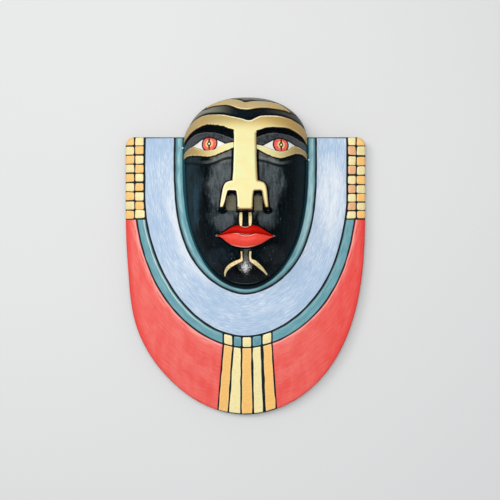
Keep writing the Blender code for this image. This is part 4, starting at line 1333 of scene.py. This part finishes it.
def lid_finish():
    """Charcoal lid, partly its paint and partly a painted sheen, darker along the eye, towards the temple and
    at its upper edge, with a painted highlight just inside that edge.
    """
    black = colours().black
    paint = Finish("lid_grey", tint(34, 40, 46), roughness=0.38, specular=0.35)
    inner, outer = paint.read_lay()
    mottle = paint.noise(330.0, (1.0, 0.7, 1.0), detail=5.0, roughness=0.65)
    paint.coat(tint(72, 75, 78), paint.step(mottle, 0.36, 0.68))
    paint.coat(shade(black, 0.3), paint.step(inner, 1.5, 0.7))
    paint.coat(tint(36, 44, 50), paint.step(paint.size(paint.x), 0.030, 0.056, 0.0, 0.6))
    # Painted highlight just inside the upper edge.
    paint.coat(tint(104, 100, 104), paint.span(outer, (0.5, 1.1), (2.6, 1.6)), 0.5)
    paint.coat(shade(black, 0.4), paint.step(outer, 0.9, 0.3))
    return paint.done(mottle, 0.25, 0.0005)


def lip_finish(name, base, specular, highlight_share, highlight_ends, low_highlight_share):
    """Glossy red, with a painted highlight along the middle of its rim and another above its lower edge,
    and a dark edge."""
    paint = Finish(name, base, roughness=0.36, specular=specular)
    edge = paint.read("edge")
    inner, _ = paint.read_lay()
    mottle = paint.noise(300.0, detail=4.0)
    paint.coat(shade(base, 0.72), paint.step(mottle, 0.4, 0.7, 0.0, 0.45))
    # Painted highlight along the middle of the rim.
    paint.coat(tint(255, 206, 194), paint.span(edge, (0.25, 0.50), (1.30, 0.85)),
               paint.step(paint.size(paint.x), *highlight_ends), highlight_share)
    middle = paint.sum(paint.x, 0.002)
    # Painted highlight above the lower edge.
    paint.coat(tint(255, 176, 162), paint.span(inner, (0.8, 1.1), (2.1, 1.5)),
               paint.span(middle, (-0.015, -0.006), (0.015, 0.006)), low_highlight_share)
    paint.coat(shade(base, 0.12), paint.step(edge, 0.35, 0.10, 0.0, 0.9))
    return paint.done(mottle, 0.1, 0.0004)


def eye_finish():
    """White of the eye with a painted iris: red, a pale gold ring round a black disc with a white
    dot, a black slit from top to bottom, and a black rim, thicker on the outer side."""
    tone = colours()
    radius = sizes().iris_radius * MM
    paint = Finish("eye_paint", tone.iris, roughness=0.32)
    across, up, outward = paint.read_parts("iris")
    reach = paint.calc("SQRT", paint.sum(paint.times(across, across), paint.times(up, up)))
    rim = paint.sum(reach, paint.times(across, outward, 0.05))
    mottle = paint.noise(700.0)
    dark = shade(tone.black, 0.35)
    paint.coat(tint(248, 122, 108), paint.step(mottle, 0.38, 0.66))
    paint.coat(tint(250, 206, 138), paint.step(reach, 4.5, 3.5), paint.step(mottle, 0.25, 0.55, 0.6, 1.0))
    slit = paint.calc("SUBTRACT", paint.size(across), paint.step(reach, 7.2, 2.0, 0.35, 1.0))
    paint.coat(dark, paint.step(slit, 0.25, -0.15))
    paint.coat(dark, paint.step(reach, 2.45, 1.95))
    paint.coat(tint(252, 248, 222), paint.step(reach, 1.15, 0.80))
    paint.coat(dark, paint.step(rim, radius - 1.35, radius - 0.95))
    paint.coat(tint(238, 236, 232), paint.step(rim, radius + 0.05, radius + 0.40))
    paint.coat(dark, paint.step(paint.read("edge"), 1.45, 1.05), 0.85)
    return paint.done()


# Pieces

def collar_line(line, shift=0.0, size=0.0, seed=0):
    """One of the U-shaped lines, moved inwards by a shift and made unsteady."""
    whole = u_line(line)
    whole = shifted(whole, shift) if shift else whole
    return unsteady(whole, size, seed, 60) if size else whole


def level_ends(line):
    """A U whose two ends lie exactly on the collar's top edge."""
    line = line.copy()
    line[0, 1] = line[-1, 1] = COLLAR_TOP
    return line


def below_tiles(line, side, end, count):
    """The stretch of a line on one side of the collar, from under the tiles to the outermost stripe,
    short of that stripe's upper (0) or lower (1) end by half a gap."""
    half_gap = 0.5 * sizes().fine_gap
    stripe = STRIPE_EDGES[0 if side < 0 else -1][end] + side * half_gap
    top = crossing(line, 1, TILE_ROW_FOOT - half_gap, side)
    return portion(line, top, crossing(line, 0, stripe, side), count)


def make_ground():
    """The black blank that shows between the collar's bands, from the head's wall to the outline."""
    shell = Shell()
    inner = portion(level_ends(collar_line(HEAD_WALL_LINE)), 0.0, 1.0, len(OUTLINE))
    panel(shell, inner, OUTLINE, dome, GROUND_ROUNDS, 420, 40, lift=-sizes().line_depth)
    shell.piece("collar_ground", ground_finish())


def make_bands():
    """Between pairs of the U-shaped lines: the inner teal band, the blue band, and the outer teal
    band in two halves, each from under the tiles to the beads."""
    size = sizes()
    gap, wob = size.line_gap, size.brush_wobble
    rims = (RIM_ROUND, RIM_ROUND)
    shell = Shell()
    inner = level_ends(collar_line(HEAD_WALL_LINE))
    teal_edge = level_ends(collar_line(INNER_LINE, 0.2 * gap, wob, 11))
    panel(shell, teal_edge, inner, dome, (size.band_slope, 0.0004) + rims, 420, 18, TEAL_LIFT, skirt=SKIRT)
    shell.piece("teal_inner_band", teal_finish("teal_inner_paint", True))
    shell = Shell()
    blue_in = level_ends(collar_line(INNER_LINE, -0.8 * gap, 0.6 * wob, 12))
    blue_out = level_ends(collar_line(MIDDLE_LINE, 0.8 * gap, 0.6 * wob, 13))
    panel(shell, blue_in, blue_out, dome, (size.edge_round, size.edge_round) + rims, 460, 40, skirt=SKIRT)
    shell.piece("blue_band", blue_finish())
    shell = Shell()
    middle = collar_line(MIDDLE_LINE, -0.2 * gap, wob, 14)
    outer = collar_line(OUTER_LINE, 0.5 * size.fine_gap, wob, 15)
    rounds = (size.band_slope, size.edge_round, END_ROUND, END_ROUND)
    for side in (-1, 1):
        edges = [below_tiles(line, side, 0, 300) for line in (middle, outer)]
        panel(shell, *edges, dome, rounds, 200, 14, TEAL_LIFT, skirt=SKIRT)
    shell.piece("teal_outer_bands", teal_finish("teal_outer_paint", False))


def make_fields():
    """The two red fields, out to the outline."""
    size = sizes()
    shell = Shell()
    outer = collar_line(OUTER_LINE, -0.5 * size.fine_gap, size.brush_wobble, 16)
    for side in (-1, 1):
        edges = below_tiles(outer, side, 0, 400), below_tiles(OUTLINE, side, 1, 400)
        panel(shell, *edges, dome, (0.0012, RIM_ROUND, END_ROUND, END_ROUND), 300, 40, skirt=SKIRT)
    shell.piece("red_fields", red_finish())


def corner_limit(places):
    """Places beyond one of the collar's rounded upper corners, drawn back onto its circle."""
    centre_x, centre_y = COLLAR_HALF_WIDTH - COLLAR_CORNER, COLLAR_TOP - COLLAR_CORNER
    side = np.sign(places[..., 0])
    dx, dy = np.abs(places[..., 0]) - centre_x, places[..., 1] - centre_y
    reach = np.hypot(dx, dy)
    out = (dx > 0.0) & (dy > 0.0) & (reach > COLLAR_CORNER)
    pull = np.where(out, COLLAR_CORNER / np.maximum(reach, 1e-9), 1.0)
    drawn = np.stack([side * (centre_x + dx * pull), centre_y + dy * pull], axis=-1)
    return np.where(out[..., None], drawn, places)


def row_line(side, row):
    """Height of the line under a row of tiles: even steps, sagging by a sine down the column."""
    share = row / (TILE_ROWS - 1)
    even = TILE_ROW_TOP + (TILE_ROW_FOOT - TILE_ROW_TOP) * share
    return even - TILE_ROW_SAG[side] * math.sin(math.pi * share)


def make_tiles():
    """Two columns of tiles on each side, cream in turn with orange, or with salmon in the right
    side's inner column. Each tile's corners are shaken a little, but stay on the collar's edges."""
    size = sizes()
    gap = size.tile_gap
    hand = np.random.default_rng(41)
    shells = {key: Shell() for key in ("tiles_orange", "tiles_salmon", "tiles_cream")}
    for side, row, column in itertools.product((-1, 1), range(TILE_ROWS), (0, 1)):
        top = COLLAR_TOP if row == 0 else row_line(side, row - 1) - 0.5 * gap
        bottom = row_line(side, row) + 0.5 * gap
        if column == 0:
            near = [line_x(MIDDLE_LINE, y, side) + 0.3 * size.line_gap for y in (top, bottom)]
            far = TILE_COLUMN - 0.5 * gap
        else:
            near = [TILE_COLUMN + 0.5 * gap] * 2
            far = COLLAR_HALF_WIDTH + 0.0001
        corners = np.array([(near[0], top), (far, top), (far, bottom), (near[1], bottom)])
        shake = hand.uniform(-0.00032, 0.00032, (4, 2)) + (0.0, hand.uniform(-0.0004, 0.0004))
        shake[1:3, 0] *= 1.0 - column
        shake[:2, 1] *= row > 0
        corners = (corners + shake) * (side, 1.0)
        cream = (row + column) % 2 == 0
        key = "tiles_cream" if cream else ("tiles_salmon" if side > 0 and column == 0 else "tiles_orange")
        dull = OUTER_CREAM_DULL[side] if column == 1 and cream else 0.0
        tile(shells[key], corners, over_rim, hand, lift=hand.uniform(-0.0002, 0.0002),
             power=hand.uniform(5.0, 9.0), mark=dull + hand.uniform(0.0, 0.3), limit=corner_limit)
    for key, shell in shells.items():
        shell.piece(key, tile_finish(key))


def stripe_edge(x, foot_x, inset, seed, hand):
    """One edge of a stripe: a straight line from the outer teal band down to a little short of the
    outline, moved sideways by its inset and an unsteady hand."""
    size = sizes()
    foot_line = shifted(OUTLINE, 0.0008)
    low_highlight_share = crossing(foot_line, 0, foot_x, 1 if foot_x > 0 else -1)
    foot_y = at_shares(foot_line, np.array([low_highlight_share]))[0, 1] + hand.uniform(-0.0003, 0.0005)
    line = np.linspace((x, line_y(OUTER_LINE, x) - 0.5 * size.fine_gap), (foot_x, foot_y), 120)
    shake = wobble(len(line), 1.5 * size.brush_wobble, seed, 8) + inset
    return line + shake[:, None] * (1.0, 0.0)


def make_stripes():
    """Under the chin, a bead in the outer teal band's place and a stripe under it, five times: cream
    beads over orange stripes in turn with teal beads over cream stripes."""
    size = sizes()
    gap, hand = size.fine_gap, np.random.default_rng(43)
    shells = {key: Shell() for key in ("cream_beads_and_stripes", "orange_stripes", "teal_beads")}
    cream, orange, teal = shells.values()
    for number, ((top_a, foot_a), (top_b, foot_b)) in enumerate(zip(STRIPE_EDGES, STRIPE_EDGES[1:])):
        a, b = top_a + 0.5 * gap, top_b - 0.5 * gap
        upper = [(x, line_y(MIDDLE_LINE, x) - 0.3 * size.line_gap) for x in (a, b)]
        lower = [(x, line_y(OUTER_LINE, x) + 0.5 * gap) for x in (b, a)]
        corners = np.array(upper + lower) + hand.uniform(-0.0002, 0.0002, (4, 2))
        tile(cream if number % 2 == 0 else teal, corners, dome, hand, lift=0.0003, power=8.0,
             mark=hand.uniform(0.0, 0.6), edge_round=0.0007, uneven=0.02)
        inset_a, inset_b = STRIPE_INSETS[number]
        seed = 50 + 2 * number
        edges = (stripe_edge(a, foot_a + 0.5 * gap, inset_a, seed, hand),
                 stripe_edge(b, foot_b - 0.5 * gap, -inset_b, seed + 1, hand))
        panel(orange if number % 2 == 0 else cream, *edges, dome, STRIPE_ROUNDS, 90, 10, skirt=SKIRT,
              mark=hand.uniform(0.0, 0.3))
    for key, shell in shells.items():
        shell.piece(key, tile_finish(key))


def hollow_points(y, columns):
    """The hollow behind the head: the bare egg, made smaller by the wall across, along and out."""
    middle = 0.5 * (HEAD_HIGH + HEAD_LOW)
    share = 1.0 - 2.0 * WALL / (HEAD_HIGH - HEAD_LOW)
    back = np.linspace(1.0, -1.0, columns)
    across = np.abs(np.sin(back[None, :] * back_turn(y)[:, None]))
    up = np.sqrt(np.maximum(1.0 - across ** CHEEK_POWER, 0.0))
    x = np.sign(back)[None, :] * (1.0 - WALL / HEAD_HALF_WIDTH) * head_half_width(y)[:, None] * across
    over_back = head_depth(y)[:, None] * up - (BACK_LIFT - HEAD_UNDER)
    z = BACK_LIFT + over_back * (1.0 - WALL / (HEAD_DEPTH - BACK_LIFT))
    return np.stack([x, np.broadcast_to((middle + (y - middle) * share)[:, None], x.shape), z], axis=-1)


def make_head():
    """Outer skin, back ring and hollow as one closed grid: rows from the crown to the chin, each a
    loop over the front and back through the hollow. Over each fold under an eye stands a ridge and
    along it runs a groove, both bell curves of the distance."""
    rows, front, inner = HEAD_GRID
    y = 0.5 * (HEAD_HIGH + HEAD_LOW) + 0.5 * (HEAD_HIGH - HEAD_LOW) * np.cos(np.linspace(0.0, np.pi, rows))
    place = np.linspace(-1.0, 1.0, front)
    points, normals, _ = head(np.stack(np.broadcast_arrays(place[None, :], y[:, None]), axis=-1))
    fold = fold_distance(points[..., 0], points[..., 1])
    ridge = FOLD_RELIEF * (np.exp(-((fold - 0.0024) / 0.0018) ** 2) - np.exp(-(fold / 0.0012) ** 2))
    ridge[[0, -1]] = 0.0
    points = points + normals * ridge[..., None] * (np.abs(place) < 0.98)[None, :, None]
    loop = np.concatenate([points, hollow_points(y, inner)], axis=1)
    inside = np.concatenate([np.zeros((rows, front)), np.ones((rows, inner))], axis=1)
    shell = Shell()
    shell.add(loop, 0.0, 0.0, 0.0, (False, False), mark=inside)
    item = shell.piece("head", head_finish(), sharp=50.0)
    x, y = places_of(item)[:, :2].T
    set_measure(item.data, "near", trim_distances(x, y))
    set_measure(item.data, "fold", fold_distance(x, y) * MM)
    set_measure(item.data, "band", band_distances(x, y))


def band_distances(x, y):
    """In mm, seen from the front: height over the brow band, under the crown band and over it."""
    edges = [np.interp(x, *smooth_line(points, 300).T) for points in (BROW_UPPER, CROWN_LOWER, CROWN_UPPER)]
    return np.stack([y - edges[0], edges[1] - y, y - edges[2]], axis=1) * MM


def fold_distance(x, y):
    """Distance to the nearer fold under an eye, less than zero below it."""
    best = np.full_like(x, 1.0)
    for eye in EYES.values():
        fold = smooth_line(eye["bag"], 24)
        away = polyline_distance(x, y, fold)
        away = np.where(y < np.interp(x, fold[:, 0], fold[:, 1]), -away, away)
        best = np.where(np.abs(away) < np.abs(best), away, best)
    return best


def stroke_lines():
    """Both edges of the two strokes under the nose, which mirror each other, and of the chin's two."""
    edges = np.array((PHILTRUM_INNER, PHILTRUM_OUTER))
    lines = [edges * (side, 1.0) + (PHILTRUM_SHIFT, 0.0) for side in (-1.0, 1.0)]
    return lines + [[np.array(points) for points in pair] for pair in CHIN_STROKES]


def trim_distances(x, y):
    """In mm, seen from the front: how far the nose is, how far up the brow's lower edge is, and how
    far the nearest lip, stroke or gold band is."""
    nose_lines = [line for side in (-1.0, 1.0) for line in (
        np.array(NOSE_BAR) * (side, 1.0), wing_line(WING_OUTER, side), wing_line(WING_INNER, side))]
    trim_lines = [line for pair in stroke_lines() for line in pair]
    trim_lines += [smooth_line(points, 60) for points in (
        LIP_TOP, LIP_BOTTOM, BROW_UPPER, CROWN_LOWER, CROWN_UPPER, EYES["left"]["band"],
        EYES["right"]["band"])]
    nose, trim = (np.min([polyline_distance(x, y, line) for line in lines], axis=0)
                  for lines in (nose_lines, trim_lines))
    brow = smooth_line(BROW_LOWER, 200)
    under = np.interp(x, brow[:, 0], brow[:, 1]) - y
    return np.stack([nose, under, trim], axis=1) * MM


def head_edges(lower, upper, lift=0.0, surface=head, count=300, wobbles=(0.0, 0.0), seed=0):
    """Two edges as they are seen from the front, smoothed and laid on the head, each drawn back by
    the sideways part of the lift that the piece on them has."""
    edges = []
    for number, (points, size) in enumerate(zip((lower, upper), wobbles)):
        line = smooth_line(points, count)
        line = unsteady(line, size, seed + number, 40) if size else line
        base = line
        for _ in range(3):
            _, normals, fade = surface(head_place(base))
            base = line - normals[:, :2] * (lift * fade)[:, None]
        edges.append(head_place(base))
    return edges


def make_gold_bands():
    """The brow band, whose lower edge is torn on the left, the crown band, and the band under each
    eye."""
    size = sizes()
    wob, lift = size.brush_wobble, size.gold_lift
    seen = lift - SEEN_BELOW
    shell = Shell()
    lower_edge, upper_edge = head_edges(BROW_LOWER, BROW_UPPER, seen, bare_head, 500, (wob, wob), 61)
    share = np.linspace(-BROW_LOWER[-1][0], BROW_LOWER[-1][0], 500)
    torn = np.exp(-((share - BROW_TORN[0]) / BROW_TORN[1]) ** 4)
    lower_edge[:, 1] += wobble(500, BROW_TORN[2], 67, 170) * torn
    panel(shell, lower_edge, upper_edge, bare_head, BROW_ROUNDS, 420, 16, lift, skirt=GOLD_SKIRT)
    shell.piece("brow_band", gold_finish("brow_gold", "outer", (-0.030, 0.040)))
    shell = Shell()
    edges = head_edges(CROWN_LOWER, CROWN_UPPER, seen, bare_head, 400, (0.5 * wob, 0.5 * wob), 63)
    panel(shell, *edges, bare_head, CROWN_ROUNDS, 260, 16, lift, skirt=GOLD_SKIRT)
    shell.piece("crown_band", gold_finish("crown_gold", "inner", (-0.016, 0.008)))
    shell = Shell()
    for number, eye in enumerate(EYES.values()):
        upper = (eye["ends"][0],) + eye["lower"] + (eye["ends"][1],)
        edges = head_edges(eye["band"], upper, seen, head, 300, (wob, 0.5 * wob), 65 + 2 * number)
        panel(shell, *edges, head, UNDER_EYE_ROUNDS, 160, 12, lift, skirt=EYE_SKIRT)
    shell.piece("under_eye_bands", gold_finish("under_eye_gold"))


def make_eyes():
    """The lids, each over the eye's upper edge, and the whites of the eyes, which reach a little
    under the lids and the gold."""
    size = sizes()
    lids, whites = Shell(), Shell()
    for number, eye in enumerate(EYES.values()):
        start, end = ((x, y + LID_END_LIFT) for x, y in eye["ends"])
        lower = (start,) + eye["upper"] + (end,)
        wobbles = (0.4 * size.brush_wobble, size.brush_wobble)
        edges = head_edges(lower, eye["lid"], size.lid_lift - 0.0006, head, 300, wobbles, 71 + 2 * number)
        panel(lids, *edges, head, LID_ROUNDS, 160, 14, size.lid_lift, skirt=EYE_SKIRT)
        lower = np.array(eye["lower"]) - (0.0, WHITE_SPREAD)
        upper = np.array(eye["upper"]) + (0.0, WHITE_SPREAD)
        edges = head_edges(lower, upper, WHITE_LIFT, head, 200)
        panel(whites, *edges, head, (0.0001,) * 4, 60, 16, WHITE_LIFT, skirt=0.0020)
    lids.piece("eyelids", lid_finish())
    item = whites.piece("eyeballs", eye_finish())
    places = places_of(item)
    left = places[:, :1] < 0.0
    centre = np.where(left, EYES["left"]["iris"], EYES["right"]["iris"])
    outward = np.where(left, -1.0, 1.0)
    set_measure(item.data, "iris", np.concatenate([(places[:, :2] - centre) * MM, outward], axis=1))


def wing_line(points, side):
    """A wing's edge, leaning outwards towards its foot by the side's own lean."""
    line = smooth_line(points, 160)
    line[:, 0] += WING_LEANS[side] * (WING_OUTER[0][1] - line[:, 1]) / (WING_OUTER[0][1] - WING_OUTER[-1][1])
    return line * (side, 1.0)


def rim_distance(x, y):
    """In mm, seen from the front: how far the nose's outline is, with its tip's lower edge in the
    middle, and growing over the brow, where the nose has no rubbed rim."""
    bar = np.array([point for point in NOSE_BAR if not 0.0650 < point[1] < 0.0757])
    upper, lower = bar[bar[:, 1] > 0.070], bar[bar[:, 1] < 0.070]
    away = np.where(np.abs(x) < 0.0080, np.abs(y - NOSE_BAR[-1][1]), 1.0)
    for side in (-1.0, 1.0):
        outer, inner = wing_line(WING_OUTER, side), wing_line(WING_INNER, side)
        outer, inner = outer[np.abs(outer[:, 0]) > 0.0128], inner[np.abs(inner[:, 0]) > 0.0095]
        whole = np.vstack([upper * (side, 1.0), outer, inner[::-1], lower * (side, 1.0)])
        away = np.minimum(away, polyline_distance(x, y, whole))
    away += np.clip((y - BROW_LOWER[6][1]) / 0.0035, 0.0, 1.0) * 0.004
    return away * MM


def make_nose():
    """The nose's bar, up between the two sides of the brow band, with a wing on each side."""
    size = sizes()
    shell = Shell()
    knots = np.array(NOSE_BAR)[::-1]
    y = np.linspace(NOSE_BAR[0][1], NOSE_BAR[-1][1], 300)
    x = np.interp(y, knots[:, 1], knots[:, 0]) + wobble(300, 0.5 * size.brush_wobble, 81, 16)
    edge = np.stack([x, y], axis=1)
    rounds = (size.nose_round, size.nose_round, 0.0010, size.nose_round)
    panel(shell, edge * (-1.0, 1.0), edge, nose_surface, rounds, 190, 24, skirt=NOSE_SKIRT)
    for side in (-1.0, 1.0):
        edges = (wing_line(points, side) for points in (WING_OUTER, WING_INNER))
        rounds = (size.nose_round, 0.0009, 0.0004, size.nose_round)
        panel(shell, *edges, wing_surface, rounds, 90, 16, skirt=NOSE_SKIRT)
    item = shell.piece("nose", nose_finish())
    set_measure(item.data, "rim", rim_distance(*places_of(item)[:, :2].T))


def make_lips():
    """The two lips, each a panel with a high crown along its middle."""
    size, tone = sizes(), colours()
    for name, (lower, upper, key, shine) in LIPS.items():
        shell = Shell()
        edges = head_edges(lower, upper, 0.0010)
        crown = size.lip_lift - LIP_EDGE_LIFT
        panel(shell, *edges, head, LIP_ROUNDS, 140, 18, LIP_EDGE_LIFT, crown, skirt=0.0015)
        shell.piece(name, lip_finish(name + "_paint", getattr(tone, key), *shine))


def make_strokes():
    """The gold strokes under the nose and round the chin."""
    lift = sizes().stroke_lift
    shell = Shell()
    for pair in stroke_lines():
        edges = head_edges(*pair, lift, head, 160)
        panel(shell, *edges, head, (0.0005,) * 4, 70, 10, lift, skirt=0.0015)
    shell.piece("gold_strokes", stroke_finish())


def make_stage():
    """A plain pale floor under the mask, a dim sky, two square lamps and the camera."""
    scene = bpy.context.scene
    floor = bpy.data.meshes.new("floor")
    corners = ((-FLOOR_REACH, -FLOOR_REACH), (FLOOR_REACH, -FLOOR_REACH), (FLOOR_REACH, FLOOR_REACH),
               (-FLOOR_REACH, FLOOR_REACH))
    floor.from_pydata([corner + (FLOOR_LEVEL,) for corner in corners], [], [(0, 1, 2, 3)])
    paint = Finish("studio_floor", colours().floor, roughness=0.8, specular=0.5)
    grain = paint.noise(3.0, detail=1.0)
    paint.coat(shade(colours().floor, 0.96), paint.step(grain, 0.3, 0.7, 0.0, 0.3))
    floor.materials.append(paint.done())
    ground = bpy.data.objects.new("floor", floor)
    scene.collection.objects.link(ground)

    world = bpy.data.worlds.new("studio")
    world.use_nodes = True
    sky = world.node_tree.nodes["Background"].inputs
    sky["Color"].default_value = SKY_COLOUR
    sky["Strength"].default_value = SKY_STRENGTH
    scene.world = world
    for name, place, size, power in LAMPS:
        lamp = bpy.data.lights.new(name, "AREA")
        lamp.shape = "SQUARE"
        lamp.size = size
        lamp.energy = power
        lamp.color = LAMP_COLOUR
        light = bpy.data.objects.new(name, lamp)
        light.location = place
        scene.collection.objects.link(light)
        point_at(light, (0.0, 0.0, 0.03))

    camera = bpy.data.cameras.new("camera")
    camera.lens = CAMERA_LENS
    camera.sensor_width = SENSOR
    camera.clip_start = 0.01
    view = bpy.data.objects.new("camera", camera)
    view.location = CAMERA_PLACE
    scene.collection.objects.link(view)
    bpy.context.scene.camera = view
    scene.view_settings.view_transform = "Standard"


def point_at(item, target):
    """Turn a lamp's -Z towards a target."""
    direction = Vector(target) - item.location
    item.rotation_euler = direction.to_track_quat("-Z", "Y").to_euler()


class MASK_OT_ground(bpy.types.Operator):
    """Make the collar's black ground"""
    bl_idname = "wall_mask.ground"
    bl_label = "Collar ground"

    def execute(self, context):
        make_ground()
        return {"FINISHED"}


class MASK_OT_bands(bpy.types.Operator):
    """Make the collar's blue and teal bands"""
    bl_idname = "wall_mask.bands"
    bl_label = "Blue and teal bands"

    def execute(self, context):
        make_bands()
        return {"FINISHED"}


class MASK_OT_fields(bpy.types.Operator):
    """Make the collar's red fields"""
    bl_idname = "wall_mask.fields"
    bl_label = "Red fields"

    def execute(self, context):
        make_fields()
        return {"FINISHED"}


class MASK_OT_tiles(bpy.types.Operator):
    """Make the two columns of tiles on each side"""
    bl_idname = "wall_mask.tiles"
    bl_label = "Tiles"

    def execute(self, context):
        make_tiles()
        return {"FINISHED"}


class MASK_OT_stripes(bpy.types.Operator):
    """Make the beads and stripes under the chin"""
    bl_idname = "wall_mask.stripes"
    bl_label = "Beads and stripes"

    def execute(self, context):
        make_stripes()
        return {"FINISHED"}


class MASK_OT_head(bpy.types.Operator):
    """Make the head with its hollow"""
    bl_idname = "wall_mask.head"
    bl_label = "Head"

    def execute(self, context):
        make_head()
        return {"FINISHED"}


class MASK_OT_gold_bands(bpy.types.Operator):
    """Make the brow, crown and under-eye bands"""
    bl_idname = "wall_mask.gold_bands"
    bl_label = "Gold bands"

    def execute(self, context):
        make_gold_bands()
        return {"FINISHED"}


class MASK_OT_eyes(bpy.types.Operator):
    """Make the eyeballs and eyelids"""
    bl_idname = "wall_mask.eyes"
    bl_label = "Eyes"

    def execute(self, context):
        make_eyes()
        return {"FINISHED"}


class MASK_OT_nose(bpy.types.Operator):
    """Make the nose"""
    bl_idname = "wall_mask.nose"
    bl_label = "Nose"

    def execute(self, context):
        make_nose()
        return {"FINISHED"}


class MASK_OT_lips(bpy.types.Operator):
    """Make the lips"""
    bl_idname = "wall_mask.lips"
    bl_label = "Lips"

    def execute(self, context):
        make_lips()
        return {"FINISHED"}


class MASK_OT_strokes(bpy.types.Operator):
    """Make the strokes at mouth and chin"""
    bl_idname = "wall_mask.strokes"
    bl_label = "Strokes"

    def execute(self, context):
        make_strokes()
        return {"FINISHED"}


class MASK_OT_stage(bpy.types.Operator):
    """Make the floor, lights and camera"""
    bl_idname = "wall_mask.stage"
    bl_label = "Stage"

    def execute(self, context):
        make_stage()
        return {"FINISHED"}


STEPS = (MASK_OT_ground, MASK_OT_bands, MASK_OT_fields, MASK_OT_tiles, MASK_OT_stripes, MASK_OT_head,
         MASK_OT_gold_bands, MASK_OT_eyes, MASK_OT_nose, MASK_OT_lips, MASK_OT_strokes, MASK_OT_stage)
for operator in STEPS:
    operator.bl_options = {"REGISTER", "UNDO"}


class MASK_PT_panel(bpy.types.Panel):
    """One button for each step, then the lengths and colours."""
    bl_label = "Wall mask"
    bl_space_type = "VIEW_3D"
    bl_region_type = "UI"
    bl_category = "Wall mask"

    def draw(self, context):
        for step in STEPS:
            self.layout.operator(step.bl_idname)
        for group in (context.scene.mask_sizes, context.scene.mask_colours):
            box = self.layout.box()
            for key in group.bl_rna.properties.keys():
                if key not in ("rna_type", "name"):
                    box.prop(group, key)


CLASSES = (MaskSizes, MaskColours) + STEPS + (MASK_PT_panel,)


def register():
    """Register the classes and hang the settings on the scene."""
    for item in CLASSES:
        bpy.utils.register_class(item)
    bpy.types.Scene.mask_sizes = PointerProperty(type=MaskSizes)
    bpy.types.Scene.mask_colours = PointerProperty(type=MaskColours)


def unregister():
    """Take away what register made, in reverse."""
    del bpy.types.Scene.mask_colours
    del bpy.types.Scene.mask_sizes
    for item in reversed(CLASSES):
        bpy.utils.unregister_class(item)


def main():
    """Make every piece and the stage."""
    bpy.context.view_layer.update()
    register()
    for step in STEPS:
        name = step.bl_idname.split(".")[1]
        if getattr(bpy.ops.wall_mask, name)() != {"FINISHED"}:
            raise RuntimeError(name + " was not made")


if __name__ == "__main__":
    main()
